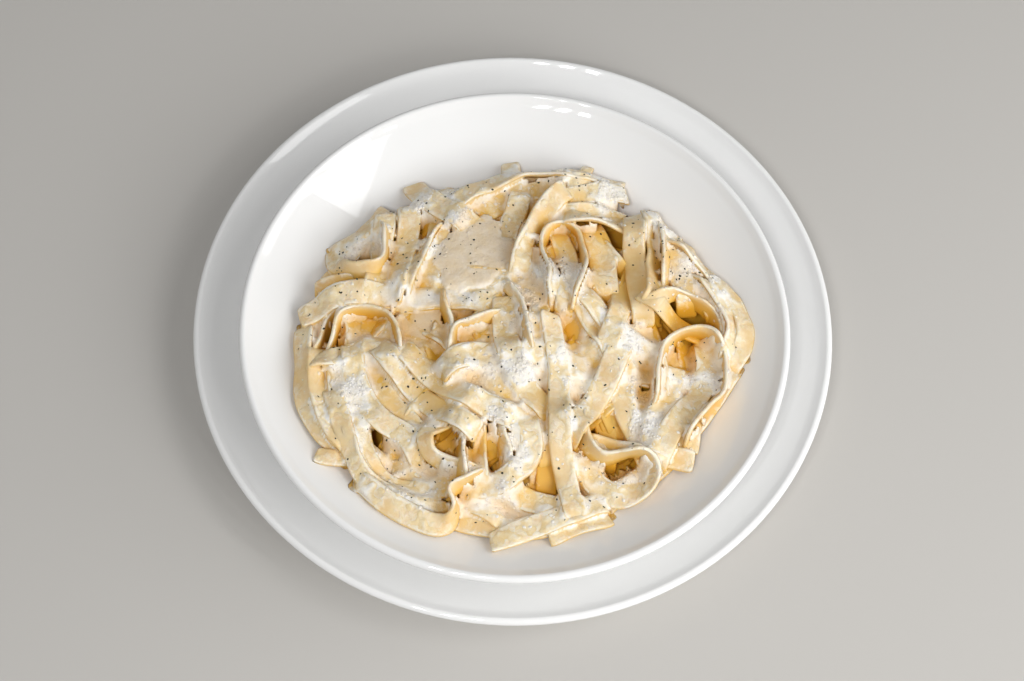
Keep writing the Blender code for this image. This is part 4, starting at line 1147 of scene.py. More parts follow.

# %% [markdown]
# ## Where the sauce lies
#
# The sauce is cream thickened with grated cheese: white, slightly grainy, thick enough to stay on
# a ribbon's back. It blurs the ribbons into each other: it rounds their edges and fills the creases
# between them. In the photo it makes a pool in a dip behind the long ribbon, a smaller one in the
# pocket before it, thick smears, and a patchy coat on nearly all the rest. Only a few gaps between
# ribbons stay dark and open. The pools, smears, bare spots and open gaps are listed one by one, in
# millimetres from the bowl's middle, and the patches between come from seeded noise.

# %% Sauce places
POOLS = (                         # x, y, half widths along x and y, depth under the heap's surface
    (-17.0, 31.0, 16.0, 20.0, 4.7),
    (-38.5, -5.0, 12.0, 11.0, 6.5),
)
DOLLOPS = (                       # x, y, radius, height
    (-2, -78, 7, 1.6), (4, -24, 8, 1.5), (-14, -28, 8, 1.5), (3, -59, 6, 1.6), (-65, -31, 9, 1.6),
    (49, -8, 8, 1.5), (43, 67, 6, 1.2), (-3, -45, 8, 1.4), (-26, 66, 6, 1.0), (52, -46, 7, 1.3),
    (19, -17, 7, 1.2), (70, 25, 6, 1.1), (13, 19, 6, 1.4), (25, -29, 6, 1.0), (61, 49, 5, 0.9),
    (79, -20, 7, 1.5), (25, -47, 5, 1.0), (24, 19, 6, 1.3), (51, -28, 6, 1.9), (64, -23, 5, 1.0),
    (1, -2, 5, 1.4), (28, -77, 5, 1.2), (-71, 34, 5, 0.9), (-38, -76, 6, 1.0), (-23, -55, 6, 1.5),
    (43, -65, 6, 1.4), (-32, -68, 6, 1.2), (7, 10, 6, 1.2), (-44, -65, 5, 1.1), (28, -59, 5, 1.0),
    (-74, -8, 5, 1.0), (-50, -56, 6, 1.1), (-62, -8, 5, 0.9), (-6, 71, 10, 0.8), (20, 73, 9, 0.9),
    (-44, 54, 8, 0.7), (-60, 34, 8, 0.7), (55, 45, 8, 0.7), (36, 60, 8, 0.7), (86, 8, 7, 0.4),
    (53, -22, 5, 0.7), (38, 37, 5, 0.9), (-47, -2, 5, 0.8), (-59, -8, 5, 0.6), (55, -5, 5, 0.7),
    (-23, -2, 5, 0.8), (14, 24, 6, 1.2), (25, 25, 5, 1.0), (-11, -77, 5, 0.9), (-34, 36, 6, 0.8),
    (-36, 25, 6, 0.8), (-26, 47, 6, 0.7),
)
LONG_BAND_COAT = (                # the same, on the long ribbon that crosses in front of the pool
    (-54, 9.5, 5, 0.9), (-46, 8.5, 6, 1.5), (-37, 8.5, 6, 1.8), (-28, 9, 6, 1.8), (-19, 9, 5, 1.4),
)
BARE = (                          # x, y, radius, how much less clings there
    (-84, -28, 7, 1.2), (54, 10, 8, 1.9), (15, -62, 6, 1.8), (-68, -54, 6, 1.2), (-65, 19, 6, 0.9),
    (49, 26, 7, 1.7), (25, -84, 5, 0.8), (-56, 1, 6, 1.0), (67, -50, 6, 0.8), (42, -47, 5, 0.9),
    (-38, -32, 5, 0.7), (30, 33, 7, 0.8), (91, 4, 6, 0.9), (-5, -33, 5, 0.7), (52, 46, 6, 0.8),
    (-5, 64, 6, 0.7), (-83, -30, 5, 0.6), (-5, -86, 5, 0.6), (25, 70, 5, 0.6),
)
OPEN_GAPS = (                     # x, y, radius
    (-31, -37, 4), (-7, -57, 4), (15, -66, 6), (-28, -53, 4), (-22, -59, 3), (-53, -56, 3),
    (-47, -60, 3), (-41, -70, 3), (40, -45, 6), (24, -4, 4), (34, -7, 3), (-39, 46, 4),
    (15, 60, 3), (38, 41, 5), (75, 7, 4), (62, 1, 4), (49, 15, 5), (49, 30, 5),
)
print(len(POOLS), "pools,", len(DOLLOPS), "dollops,", len(BARE), "bare spots,", len(OPEN_GAPS), "gaps")

# %% How much sauce clings at each point
RAGGED = 2.0                      # how far noise pulls a bump out of round
RAGGED_SIZE = 6.0
PATCHES = ((9.0, 0.45, 31), (4.2, 0.45, 32), (2.2, 0.3, 33))  # millimetres, weight, seed
GAP_DEPTH = 1.6                   # how much less clings in an open gap


def bumps(places, x, y):
    """A sum of soft round bumps at (x, y, radius, height), pulled out of round by noise."""
    bent_x = x + RAGGED * cloud(x, y, RAGGED_SIZE, 51)
    bent_y = y + RAGGED * cloud(x, y, RAGGED_SIZE, 52)
    total = np.zeros_like(x)
    for px, py, radius, height in places:
        distance = ((bent_x - px) ** 2 + (bent_y - py) ** 2) / radius ** 2
        total = total + height * np.exp(-distance)
    return total


def sauce_patches(x, y):
    """How much sauce clings at each point: about 0 on average, over 1 in a smear."""
    gaps = bumps([(px, py, radius, GAP_DEPTH) for px, py, radius in OPEN_GAPS], x, y)
    return clouds(PATCHES, x, y) + bumps(DOLLOPS, x, y) - bumps(BARE, x, y) - gaps


patches = sauce_patches(map_x, map_y)
print("patches, from thin to thick:", [round(float(v), 1) for v in np.percentile(patches, (5, 50, 95))])

# %% [markdown]
# ## The sauce as one sheet
#
# All the sauce is worked out as one height over the map, in four steps. It fills the gaps that are
# narrow enough for it to bridge. It lies over the ribbons as a coat that is crisp where it is thin
# and round where it is thick. It stands level in the pools. Last, the sheet is kept only where
# sauce would stay: not on a ribbon that stands on its edge, and not on a steep bare face.

# %% Fill the gaps
HEAP_INSIDE = 9.0                 # this far inside its outline, all is heap
ON_PASTA = 0.5                    # higher than this over the porcelain, it is pasta
ON_EDGE = 1.4                     # half the width of the narrowest thing with a sheet on it
ON_EDGE_RISE = 1.5                # what stands up further than this is such a narrow thing
CREVICE = 2.7                     # sauce bridges gaps of up to twice this
FILL = (0.22, 0.5)                # share of a gap that is filled, and how much more per patch
FILL_MOST = 0.95
HANG = 3.0                        # a gap counts as no deeper than this under its bridge,
PILE = 1.0                        # and sauce stands at most this far over its bottom


def blurred_within(field, mask, size):
    """Gaussian blur of the places in a mask, that takes nothing from outside it."""
    weight = blurred(mask.astype(float), size)
    return blurred(np.where(mask, field, 0.0), size) / np.maximum(weight, 1e-6)


on_pasta = (top > bowl_inside(from_middle) + ON_PASTA) | (from_middle < outline - HEAP_INSIDE)
opened = spread(spread(top, ON_EDGE, np.minimum), ON_EDGE, np.maximum)
wide_enough = opened > top - ON_EDGE_RISE
bridged = spread(spread(top, CREVICE, np.maximum), CREVICE, np.minimum)
share = np.clip(FILL[0] + FILL[1] * patches, 0.0, FILL_MOST)
filled = np.minimum(top + (bridged - top) * share, np.maximum(opened, bridged - HANG) + PILE)
filled = np.where(on_pasta, filled, 0.0)
print("gaps filled by", round(float((filled - top)[on_pasta].mean()), 2), "mm on average")

# %% Lay the coat
COAT_BASE = -0.15                 # height of the coat where a patch says 0
COAT = 0.55                       # thickness that a patch adds or takes
COAT_RANGE = (-1.4, 1.9)          # patches beyond these add or take no more
COAT_RAGGED = ((2.4, 0.35, 34), (1.5, 0.2, 37))
CRISP = 0.5                       # blur of a thin coat
CREAMY = 0.8                      # and of a thick one,
CLING = 0.7                       # which also stands out this far beside a ribbon
CREAMY_SHARE = (0.25, 0.9)        # how creamy the coat is where a patch says 0, and per patch

ragged = clouds(COAT_RAGGED, map_x, map_y, patches) + bumps(LONG_BAND_COAT, map_x, map_y)
coat = COAT_BASE + COAT * np.clip(ragged, *COAT_RANGE)
crisp = blurred_within(filled, on_pasta, CRISP)
round_over = blurred_within(spread(filled, CLING, np.maximum), on_pasta, CREAMY)
creamy = np.clip(CREAMY_SHARE[0] + CREAMY_SHARE[1] * patches, 0.0, 1.0)
sauce = crisp + (round_over - crisp) * creamy + coat
print("coat:", round(float(coat[on_pasta].mean()), 2), "mm on average")

# %% Pour the pools
POOL_RAGGED = 0.4                 # how far noise pulls a pool's edge out of its oval
POOL_RAGGED_SIZE = 6.0
# A pool's share also sets how much painted shade it gets: the dip is painted warmer.
POOL_TINT_EDGE = 0.4              # a pool's tint at its edge,
POOL_TINT_SOFT = 2.0              # and how fast it sets in
POOL_SHORE = 0.3                  # share of the oval, at its edge, over which the surface falls,
POOL_SLOPE = 2.5                  # and how steeply
THICKEST = 3.0                    # sauce is counted up to this thickness
LUMPS = ((3.0, 0.14, 35), (1.7, 0.12, 36))

pooled = np.zeros_like(top)
for px, py, wide, deep, drop in POOLS:
    inside = 1.0 - ((map_x - px) / wide) ** 2 - ((map_y - py) / deep) ** 2
    inside = inside + POOL_RAGGED * cloud(map_x, map_y, POOL_RAGGED_SIZE, 61)
    pooled = np.maximum(pooled, np.clip(POOL_TINT_EDGE + POOL_TINT_SOFT * inside, 0.0, 1.0))
    shore = np.clip(POOL_SHORE - inside, 0.0, POOL_SHORE)
    surface = heap_surface(map_x, map_y) - drop - POOL_SLOPE * shore
    sauce = np.where(inside > 0.0, np.maximum(sauce, surface), sauce)
sauce = sauce + clouds(LUMPS, map_x, map_y)
thickness = np.clip(sauce - top, 0.0, THICKEST)
in_pool = pooled > 0.5
print("pools cover", round(float(in_pool.sum()) * MAP_CELL ** 2 / 100.0, 1), "square centimetres")

# %% Keep the sheet where sauce would stay
STEEP = 1.3                       # rise over run of a ribbon's face on which no sheet stays
STEEP_HELD = 0.8                  # unless it is thicker than this
UNDER = 0.45                      # the sheet may run this far under a ribbon's surface
STRIP = 1.0                       # strips narrower than about twice this don't count

steep = np.hypot(*np.gradient(top, MAP_CELL)) > STEEP
steep_face = spread(spread(steep.astype(float), STRIP, np.minimum), STRIP, np.maximum) > 0.5
kept = (sauce > top - UNDER) & on_pasta & (wide_enough | in_pool)
kept &= ~steep_face | (thickness > STEEP_HELD)
print("sauce shows on", round(float((kept & (sauce > top)).sum() / on_pasta.sum()), 2), "of the heap")

# %% [markdown]
# ## The sheet's squares and its edge
#
# The sheet is a grid of squares over the points that are kept, without those that would stand as a
# wall and without strips too thin to see. Its edge needs care: it runs on for a point under the
# ribbons that stand over it, so that the two meet in a clean line, and its last points are pressed
# down on what they lie on, so that it thins out and no rim floats. No two squares may meet at a
# point alone, because the thick sheet made from them would not be closed there.

# %% Squares of the sheet
STEEPEST = 3.6                    # rise of a square from its lowest corner to its highest, at most
RUN_DIP = 0.2                     # how far the sheet dips where it runs on under a ribbon
PRESS_UNDER = 0.2                 # its edge is pressed this far into what it lies on,
PRESS_MOST = 1.6                  # but down by no more than this
PINCH_ROUNDS = 4
NEIGHBOURS = ((0, 1), (1, 0), (0, -1), (-1, 0), (1, 1), (1, -1), (-1, 1), (-1, -1))


def run_on(field, mask):
    """Carry a sheet on under what stands over it, at the height of the points beside it."""
    total, count = np.zeros_like(field), np.zeros_like(field)
    for step in NEIGHBOURS:
        near = np.roll(mask, step, (0, 1))
        total += np.where(near, np.roll(field, step, (0, 1)), 0.0)
        count += near
    value = total / np.maximum(count, 1) - RUN_DIP
    fresh = ~mask & (count > 0) & (top > value)
    return np.where(fresh, value, field), mask | fresh


def around(mask):
    """The four squares that meet at each point, for a mask of squares."""
    wide = np.pad(mask, 1)
    return wide[:-1, :-1], wide[:-1, 1:], wide[1:, :-1], wide[1:, 1:]


sauce, kept = run_on(sauce, kept)
corner_heights = np.stack([sauce[:-1, :-1], sauce[:-1, 1:], sauce[1:, 1:], sauce[1:, :-1]])
squares = kept[:-1, :-1] & kept[:-1, 1:] & kept[1:, 1:] & kept[1:, :-1]
squares &= np.ptp(corner_heights, axis=0) < STEEPEST
squares = spread(spread(squares.astype(float), STRIP, np.minimum), STRIP, np.maximum) > 0.5
for _ in range(PINCH_ROUNDS):     # where two squares meet at a point alone, both go
    a, b, c, d = around(squares)
    pinched = (a & d & ~b & ~c) | (b & c & ~a & ~d)
    squares &= ~(pinched[:-1, :-1] | pinched[1:, 1:] | pinched[:-1, 1:] | pinched[1:, :-1])
a, b, c, d = around(squares)
kept = a | b | c | d
at_edge = kept & ~(a & b & c & d)
pressed = np.maximum(top - PRESS_UNDER, sauce - PRESS_MOST)
sauce = np.where(at_edge, np.minimum(sauce, pressed), sauce)
print(int(squares.sum()), "squares")

# %% Sauce sheet
SAUCE_THICKNESS = 0.8             # laid on below the surface that was worked out

index = np.cumsum(kept).reshape(kept.shape) - 1
corners = np.stack([index[:-1, :-1], index[:-1, 1:], index[1:, 1:], index[1:, :-1]], axis=2)[squares]
places = np.stack([map_x[kept], map_y[kept], sauce[kept]], axis=1) + FROM_BOWL
sauce_piece = new_piece("cheese_sauce", places, corners.tolist())
bpy.ops.object.select_all(action="DESELECT")
bpy.context.view_layer.objects.active = sauce_piece
sauce_piece.select_set(True)
below = sauce_piece.modifiers.new("thickness", "SOLIDIFY")
below.thickness = SAUCE_THICKNESS * MM
below.offset = -1.0
bpy.ops.object.modifier_apply(modifier=below.name)
bpy.ops.object.shade_smooth()
print("sauce:", len(sauce_piece.data.polygons) * 2, "triangles")

# %% [markdown]
# ## What each ribbon knows of its place
#
# A point deep in the heap is painted more golden than one on top, as painted shade: light reaches
# it only after passing through and between ribbons. A ribbon's sides and undersides and the pools
# get some of that painted shade too. And a point under a patch of sauce has a white coat. Both are
# worked out once for every vertex, from the maps, and stored as attributes that the materials read.
# On the ribbons, a UV map says where a point lies along and across its own ribbon.

# %% Depth, coat and thickness
# Painted shade: how far below the envelope a point is painted golden, and how much gold its sides,
# undersides and pools are painted with.
DEEP_START = 1.2                  # below the envelope at which the colour begins to deepen,
DEEP_RANGE = 6.5                  # and how much further down it is deepest
RIM_LIGHT = 18.0                  # how far light reaches in from the heap's rim,
RIM_DEEP = 0.35                   # and the share of the deep colour that is left at the rim
HIDDEN_RANGE = 2.5                # how far below the top surface a point is wholly hidden
FACING_START = 0.15               # upward share of the normal at which a face begins to hold sauce,
FACING_RANGE = 0.5                # and how much more it takes to hold all of it
COAT_MEAN = 0.5                   # coat of an average place,
COAT_SWING = 0.45                 # and how far the patches of sauce take it from there
COAT_LOSS_HIDDEN = 0.5            # share of the coat that is missing where a point is hidden,
COAT_LOSS_DEEP = 0.8              # and where it lies deepest
SIDE_PAINTED_SHADE = 0.2                   # how much deeper a ribbon's side and underside look
POOL_PAINTED_SHADE = 0.36                  # a pool takes this share of the pasta's gold
FULL_WHITE = 0.9                  # thickness of sauce that hides the pasta


def store(piece, name, values):
    """Give each vertex of a piece its value, as an attribute that a material can read."""
    layer = piece.data.attributes.new(name, "FLOAT", "POINT")
    layer.data.foreach_set("value", values.astype(np.float32))


def points_of(piece):
    """A finished piece's vertices, from the bowl's middle."""
    return np.array([vertex.co[:] for vertex in piece.data.vertices]) / MM - FROM_BOWL


def note_place(piece, x, y, z):
    """Store each vertex's painted shade from depth, facing and pools, and how much sauce coats it."""
    below = np.clip((read_map(envelope, x, y) - z - DEEP_START) / DEEP_RANGE, 0.0, 1.0)
    from_rim = outline_radius(np.arctan2(y, x)) - np.hypot(x, y)
    below = below * np.clip(from_rim / RIM_LIGHT, RIM_DEEP, 1.0)
    hidden = np.clip((read_map(top, x, y) - z) / HIDDEN_RANGE, 0.0, 1.0)
    facing = np.empty(len(piece.data.vertices) * 3, dtype=np.float32)
    piece.data.vertex_normals.foreach_get("vector", facing)
    upward = np.clip((facing[2::3] - FACING_START) / FACING_RANGE, 0.0, 1.0)
    coat = np.clip(COAT_MEAN + COAT_SWING * sauce_patches(x, y), 0.0, 1.0)
    # Less coat where a point is hidden or deep, so that the painted shade shows there.
    coat = coat * (1.0 - COAT_LOSS_HIDDEN * hidden) * (1.0 - COAT_LOSS_DEEP * below) * upward
    store(piece, "coat", coat)
    # Painted shade: depth, sides and undersides, and pools turn a point golden.
    gold = below + SIDE_PAINTED_SHADE * (1.0 - upward) + POOL_PAINTED_SHADE * read_map(pooled, x, y)
    store(piece, "deep", np.clip(gold, 0.0, 1.0))


def note_thickness(piece, x, y, extra):
    """Store how thick the sauce is at each vertex, from 0 where the pasta shows through to 1."""
    store(piece, "thick", np.clip((read_map(thickness, x, y) + extra) / FULL_WHITE, 0.0, 1.0))


# %% Places along and across each ribbon
RIBBON_APART = 37.0               # shift of the map from one ribbon to the next


def note_ribbon(piece, marks):
    """Store where each point lies along and across its own ribbon, as a UV map."""
    layer = piece.data.uv_layers.new(name="ribbon")
    corner = np.empty(len(piece.data.loops), dtype=np.int32)
    piece.data.loops.foreach_get("vertex_index", corner)
    along_across = marks[corner][:, :2] + np.array([RIBBON_APART, 0.0]) * marks[corner][:, 2:3]
    layer.data.foreach_set("uv", along_across.astype(np.float32).ravel())


ribbon_piece, points, marks = ribbons.make("tagliatelle_ribbons")
note_place(ribbon_piece, *points.T)
note_ribbon(ribbon_piece, marks)
lower_piece, points, marks = lower.make("tagliatelle_lower")
note_place(lower_piece, *points.T)
note_ribbon(lower_piece, marks)
note_place(core, *points_of(core).T)
x, y, z = points_of(sauce_piece).T
note_place(sauce_piece, x, y, z)
note_thickness(sauce_piece, x, y, 0.0)
print("ribbons:", len(ribbon_piece.data.polygons), "lower:", len(lower_piece.data.polygons), "faces")

# %% [markdown]
# ## Cooked egg pasta
#
# Tagliatelle is rolled egg dough: semolina and yolk make it golden, and cooking makes it slightly
# translucent, so light enters and leaves a few millimetres on. Its surface is never one colour. It
# is pale where the dough took up water and the sauce clings, and tan where the ribbon is bare.
# Between ribbons, on their sides and deep in the heap a deep yellow is painted in as painted shade.
# The white coat is thin, gathers along the ribbon's two edges, where it is partly a painted
# highlight, and breaks up into patches with grains of cheese.

# %% Pasta material
BLOTCH = 9.0                      # from one swell of the dough's colour to the next
SMEAR = 3.4                       # from one patch of the coat to the next
GRAIN = 0.9                       # from one grain of cheese in the coat to the next
COAT_RELIEF = 0.25                # how far the coat stands up
COAT_WHITE = "#f4ebd8"


def cooked_pasta(name, golden):
    """Egg pasta with a patchy coat of sauce; golden adds that much painted shade, towards its deep colour.
    """
    material, tree, shader = new_material(name)
    where = add_node(tree, "TexCoord").outputs["Object"]
    ribbon = add_node(tree, "UVMap", uv_map="ribbon").outputs["UV"]
    across = add_node(tree, "SeparateXYZ", links={"Vector": ribbon}).outputs["Y"]
    deep = add_node(tree, "Attribute", attribute_name="deep").outputs["Fac"]
    coat = add_node(tree, "Attribute", attribute_name="coat").outputs["Fac"]

    # Dough: from pale to tan in slow blotches, and to gold with depth, which is painted shade.
    blotch = add_node(tree, "TexNoise", {"Scale": 1.0 / (BLOTCH * MM), "Detail": 3.0,
                                         "Roughness": 0.6}, {"Vector": where})
    shade = add_node(tree, "ValToRGB", links={"Fac": blotch.outputs["Fac"]},
                     stops=((0.32, "#e2c18a"), (0.68, "#f0dab0")))
    sunk = add_node(tree, "Math", {1: golden}, {0: deep}, operation="ADD", use_clamp=True)
    gold = add_node(tree, "ValToRGB", links={"Fac": sunk.outputs[0]},
                    stops=((0.3, "#e9c06a"), (0.9, "#dba22e")))
    sinking = add_node(tree, "MapRange", {"From Max": 0.4}, {"Value": sunk.outputs[0]})
    dough = add_node(tree, "Mix", links={"Factor": sinking.outputs["Result"],
                                         "A": shade.outputs["Color"],
                                         "B": gold.outputs["Color"]}, data_type="RGBA")

    # Coat: patches of noise, more of them where the map says, and along both edges, where it is partly
    # sauce that gathers there and partly a painted highlight.
    smear = add_node(tree, "TexNoise", {"Scale": 1.0 / (SMEAR * MM), "Detail": 4.0,
                                        "Roughness": 0.62, "Distortion": 0.5}, {"Vector": where})
    edge = add_node(tree, "Math", links={0: across}, operation="ABSOLUTE")
    edge_coat_and_highlight = add_node(tree, "MapRange", {"From Min": 0.55, "From Max": 0.85, "To Max": 0.35},
                   {"Value": edge.outputs[0]})
    edge_coat_and_highlight = add_node(tree, "Math", links={0: edge_coat_and_highlight.outputs["Result"], 1: coat}, operation="MULTIPLY")
    amount = add_node(tree, "Math", {1: 0.62}, {0: coat}, operation="MULTIPLY")
    amount = add_node(tree, "Math", links={0: amount.outputs[0], 1: edge_coat_and_highlight.outputs[0]}, operation="ADD")
    amount = add_node(tree, "Math", links={0: amount.outputs[0], 1: smear.outputs["Fac"]},
                      operation="ADD")
    cover = add_node(tree, "MapRange", {"From Min": 0.6, "From Max": 1.12, "To Max": 0.92},
                     {"Value": amount.outputs[0]}, interpolation_type="SMOOTHSTEP")
    skin = add_node(tree, "Mix", {"B": colour(COAT_WHITE)},
                    {"Factor": cover.outputs["Result"], "A": dough.outputs["Result"]}, data_type="RGBA")
    tree.links.new(skin.outputs["Result"], shader.inputs["Base Color"])

    # Relief: the coat stands up where it is thick, with grains of cheese in it.
    grain = add_node(tree, "TexNoise", {"Scale": 1.0 / (GRAIN * MM), "Detail": 2.0}, {"Vector": where})
    grains = add_node(tree, "Math", links={0: grain.outputs["Fac"], 1: cover.outputs["Result"]},
                      operation="MULTIPLY")
    relief = add_node(tree, "Math", {1: 0.6}, {0: grains.outputs[0]}, operation="MULTIPLY")
    relief = add_node(tree, "Math", links={0: relief.outputs[0], 1: cover.outputs["Result"]},
                      operation="ADD")
    bump = add_node(tree, "Bump", {"Strength": 1.0, "Distance": COAT_RELIEF * MM},
                    {"Height": relief.outputs[0]})
    tree.links.new(bump.outputs["Normal"], shader.inputs["Normal"])
    rough = add_node(tree, "MapRange", {"To Min": 0.46, "To Max": 0.3}, {"Value": cover.outputs["Result"]})
    tree.links.new(rough.outputs["Result"], shader.inputs["Roughness"])

    # Light enters the dough and leaves a little further on, red furthest.
    shader.inputs["Subsurface Weight"].default_value = 0.25
    shader.inputs["Subsurface Radius"].default_value = (0.9, 0.68, 0.3)
    shader.inputs["Subsurface Scale"].default_value = 2.2 * MM
    shader.inputs["IOR"].default_value = 1.42
    return material


# %% Dress the ribbons and the core
# The lower ribbons and the core are shaded copies of the pasta: their extra gold is painted shade.
LOWER_PAINTED_SHADE = 0.25                 # how much more golden the lower ribbons are,
CORE_PAINTED_SHADE = 0.5                   # and the core, which has no ribbon map, so no coat along edges

dress(ribbon_piece, cooked_pasta("cooked_egg_pasta", 0.0), "pasta", "tagliatelle")
dress(lower_piece, cooked_pasta("cooked_egg_pasta_painted_shade_below", LOWER_PAINTED_SHADE), "pasta", "tagliatelle")
dress(core, cooked_pasta("cooked_egg_pasta_painted_shade_core", CORE_PAINTED_SHADE), "pasta", "tagliatelle")

# %% [markdown]
# ## Cheese sauce
#
# Cream and melted cheese scatter light so well that the sauce is whiter than the pasta, and its
# wet surface has a soft broken gloss. Unmelted cheese makes it grainy. Where it is thin, the eye
# sees a veil through which the pasta's own colour shows, and it breaks up before it turns white. In
# the dips and deep in the heap it is painted a little warmer: painted shade, with the warm light
# that the pasta throws back all round.

# %% Sauce material
SWIRL = 5.0                       # from one slow change of its white to the next
BROKEN = 2.6                      # from one break in the thick sauce to the next
CURD = 1.1                        # from one grain to the next
CURD_RELIEF = 0.3                 # how far the grains stand up


def cheese_sauce(name):
    """Cream and cheese: white where it is thick, a veil over the pasta where it is thin."""
    material, tree, shader = new_material(name)
    where = add_node(tree, "TexCoord").outputs["Object"]
    deep = add_node(tree, "Attribute", attribute_name="deep").outputs["Fac"]
    thick = add_node(tree, "Attribute", attribute_name="thick").outputs["Fac"]

    # Colour: two whites and two veils in slow swirls, and what hides the pasta and what doesn't.
    swirl = add_node(tree, "TexNoise", {"Scale": 1.0 / (SWIRL * MM), "Detail": 4.0, "Roughness": 0.6},
                     {"Vector": where})
    cream = add_node(tree, "ValToRGB", links={"Fac": swirl.outputs["Fac"]},
                     stops=((0.35, "#f3ead8"), (0.62, "#fbf7ee")))
    veil = add_node(tree, "ValToRGB", links={"Fac": swirl.outputs["Fac"]},
                    stops=((0.4, "#ebd19e"), (0.7, "#f3e2be")))
    broken = add_node(tree, "TexNoise", {"Scale": 1.0 / (BROKEN * MM), "Detail": 4.0,
                                         "Roughness": 0.65}, {"Vector": where})
    amount = add_node(tree, "Math", links={0: thick, 1: broken.outputs["Fac"]}, operation="ADD")
    hides = add_node(tree, "MapRange", {"From Min": 0.55, "From Max": 1.3},
                     {"Value": amount.outputs[0]}, interpolation_type="SMOOTHSTEP")
    hiding = add_node(tree, "Mix", links={"Factor": hides.outputs["Result"],
                                          "A": veil.outputs["Color"],
                                          "B": cream.outputs["Color"]}, data_type="RGBA")
    # Painted shade: deep places and pools turn warm gold, for the shade there and the light that the pasta
    # throws on them.
    painted_warm_shade = add_node(tree, "Mix", {"B": colour("#dba845")},
                    {"Factor": deep, "A": hiding.outputs["Result"]}, data_type="RGBA")
    tree.links.new(painted_warm_shade.outputs["Result"], shader.inputs["Base Color"])

    # Surface: fine grains, and a gloss that they break up.
    curd = add_node(tree, "TexNoise", {"Scale": 1.0 / (CURD * MM), "Detail": 3.0, "Roughness": 0.6},
                    {"Vector": where})
    bump = add_node(tree, "Bump", {"Strength": 1.0, "Distance": CURD_RELIEF * MM},
                    {"Height": curd.outputs["Fac"]})
    tree.links.new(bump.outputs["Normal"], shader.inputs["Normal"])
    rough = add_node(tree, "MapRange", {"To Min": 0.2, "To Max": 0.42}, {"Value": curd.outputs["Fac"]})
    tree.links.new(rough.outputs["Result"], shader.inputs["Roughness"])
    shader.inputs["Subsurface Weight"].default_value = 0.3
    shader.inputs["Subsurface Radius"].default_value = (0.92, 0.87, 0.6)
    shader.inputs["Subsurface Scale"].default_value = 1.6 * MM
    shader.inputs["IOR"].default_value = 1.4
    return material


dress(sauce_piece, cheese_sauce("cheese_cream_sauce"), "pasta", "tagliatelle")

# %% [markdown]
# ## Grains of cheese
#
# Grated cheese doesn't all melt. It stays in the sauce as soft white grains of one or two
# millimetres, and they give the coat its rough outline. One grain is an icosphere, squashed and
# pushed out of round. Copies of it land on the heap, most of them where the sauce is thick, sink in
# by three quarters, and are joined in one mesh.

# %% Land small things on the heap
REACH_SHARE = 0.98                # of the way from the heap's middle to its outline
HOLDING = 0.25                    # a face whose normal points up less than this holds nothing


def tree_of_piece(piece):
    """A tree for ray casts on a finished piece, from the bowl's middle."""
    faces = [polygon.vertices[:] for polygon in piece.data.polygons]
    return BVHTree.FromPolygons(points_of(piece).tolist(), faces)


surfaces = (tree_of_piece(sauce_piece), tree_of(ribbons))
print(len(surfaces), "surfaces to land on")


def land(draw, chance):
    """A random place on the heap and the surface's direction there; chance(x, y) weighs places."""
    while True:
        turn = draw.uniform(0.0, 2.0 * math.pi)
        out = math.sqrt(draw.uniform(0.0, 1.0))
        radius = float(outline_radius(np.array(turn))) * out * REACH_SHARE
        x, y = radius * math.cos(turn), radius * math.sin(turn)
        if draw.uniform() > chance(x, y):
            continue
        hits = [tree.ray_cast(Vector((x, y, RAY_START)), DOWN)[:2] for tree in surfaces]
        hits = [hit for hit in hits if hit[0] is not None]
        if hits:
            place, normal = max(hits, key=lambda hit: hit[0].z)
            if normal.z > HOLDING:
                return place, normal


def ball(subdivisions):
    """Points and faces of an icosphere of radius 1."""
    bpy.ops.object.select_all(action="DESELECT")
    bpy.ops.mesh.primitive_ico_sphere_add(subdivisions=subdivisions, radius=1.0, location=(0.0, 0.0, 0.0))
    made = bpy.context.object
    points = np.array([vertex.co[:] for vertex in made.data.vertices])
    faces = np.array([polygon.vertices[:] for polygon in made.data.polygons])
    bpy.data.objects.remove(made, do_unlink=True)
    return points, faces


def strew(name, draw, form, ranges, rough, sink, places):
    """Join copies of a small ball, each stretched, made uneven, turned and set on its place."""
    shape, faces = form
    half_length, narrow, flat = ranges
    copies = []
    for place, normal in places:
        length = draw.uniform(*half_length)
        sizes = np.array([length, length * draw.uniform(*narrow), length * draw.uniform(*flat)])
        copy = shape * sizes * (1.0 + rough * draw.uniform(-1.0, 1.0, (len(shape), 1)))
        spin = Matrix.Rotation(draw.uniform(0.0, 2.0 * math.pi), 3, "Z")
        lie = np.array(normal.to_track_quat("Z", "Y").to_matrix() @ spin)
        copies.append(copy @ lie.T + np.array(place) - np.array(normal) * sizes[2] * sink)
    every = np.vstack([faces + len(shape) * number for number in range(len(copies))])
    return new_piece(name, np.vstack(copies) + FROM_BOWL, every.tolist())


# %% Strew the grains
GRAINS = 2200
# Half its length in millimetres, then its width and its height as shares of its length
GRAIN_SIZES = ((0.3, 1.0), (0.6, 1.0), (0.35, 0.6))
GRAIN_ROUGH = 0.14                # share by which its surface is uneven
GRAIN_SINK = 0.5                  # how far its middle lies under the surface, per half its height
GRAIN_COVER = 0.5                 # a grain counts as sauce this much thicker
STRAY = 0.01                      # chance that a grain stays where there is little sauce
THICK_START = 0.35                # the patches' value above which the chance grows,
THICK_CHANCE = 0.5                # and how much it grows per 1 of that value


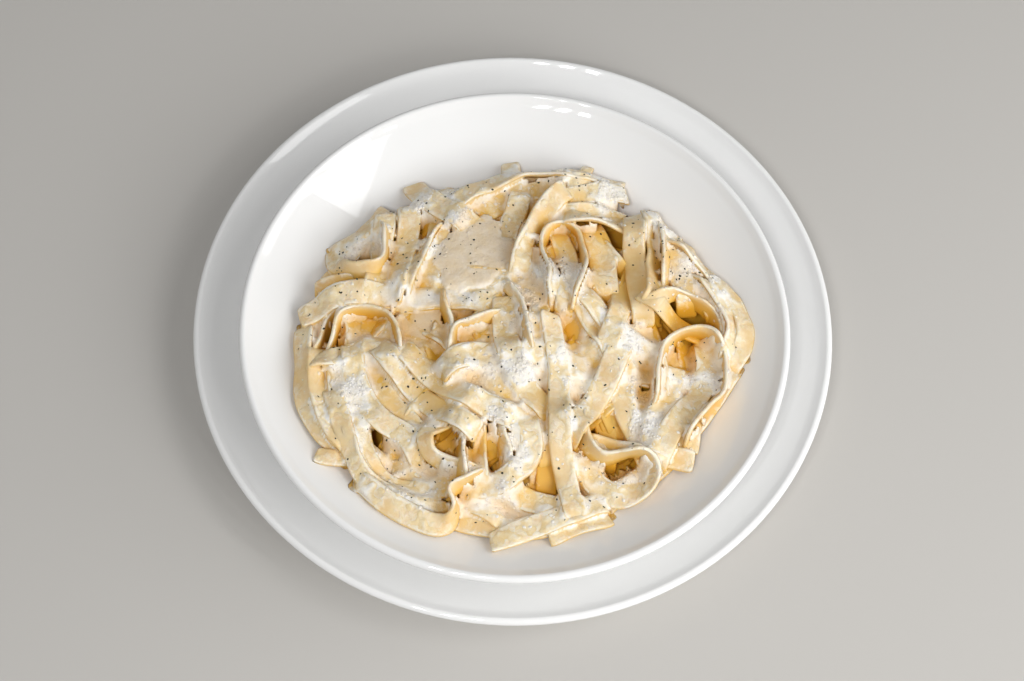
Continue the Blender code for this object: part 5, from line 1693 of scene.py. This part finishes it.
def thick_sauce(x, y):
    """The chance that a grain stays."""
    above = max(0.0, float(read_map(patches, np.array(x), np.array(y))) - THICK_START)
    return STRAY + THICK_CHANCE * above


draw = np.random.default_rng(91)
places = [land(draw, thick_sauce) for _ in range(GRAINS)]
grains = strew("cheese_grains", draw, ball(2), GRAIN_SIZES, GRAIN_ROUGH, GRAIN_SINK, places)
x, y, z = points_of(grains).T
note_place(grains, x, y, z)
note_thickness(grains, x, y, GRAIN_COVER)
dress(grains, cheese_sauce("cheese_in_grains"), "pasta", "tagliatelle")

# %% [markdown]
# ## Herb flecks
#
# Dried herbs and pepper are strewn over the dish: dark flecks of half a millimetre to a little
# over one, thin and uneven. One fleck is a flattened icosphere of 20 faces. Several hundred copies
# lie on whatever a ray from above meets, more of them in some places, as a pinch of herbs falls, and
# are joined in one mesh.

# %% Strew the flecks
FLECKS = 380
FLECK_SIZES = ((0.26, 0.68), (0.4, 0.9), (0.2, 0.4))  # written as a grain's
FLECK_ROUGH = 0.2
FLECK_SINK = -0.2                 # below 0, so its middle lies above the surface
PINCH_SIZE = 12.0                 # from one dense place to the next
PINCH_LEAST = 0.25                # chance that a fleck stays between them


def pinch(x, y):
    """The chance that a fleck stays."""
    return PINCH_LEAST + max(0.0, float(cloud(np.array(x), np.array(y), PINCH_SIZE, 78)))


draw = np.random.default_rng(77)
places = [land(draw, pinch) for _ in range(FLECKS)]
flecks = strew("herb_flecks", draw, ball(1), FLECK_SIZES, FLECK_ROUGH, FLECK_SINK, places)
print(len(places), "flecks")

# %% Fleck material
KINDS = 4.0                       # from green herb to black pepper, millimetres

herb, tree, shader = new_material("dried_herb_and_pepper")
where = add_node(tree, "TexCoord").outputs["Object"]
kinds = add_node(tree, "TexNoise", {"Scale": 1.0 / (KINDS * MM), "Detail": 0.0}, {"Vector": where})
tint = add_node(tree, "ValToRGB", links={"Fac": kinds.outputs["Fac"]},
                stops=((0.4, "#1e1d17"), (0.65, "#4a4c33")))
tree.links.new(tint.outputs["Color"], shader.inputs["Base Color"])
shader.inputs["Roughness"].default_value = 0.6
dress(flecks, herb, "pasta", "tagliatelle")
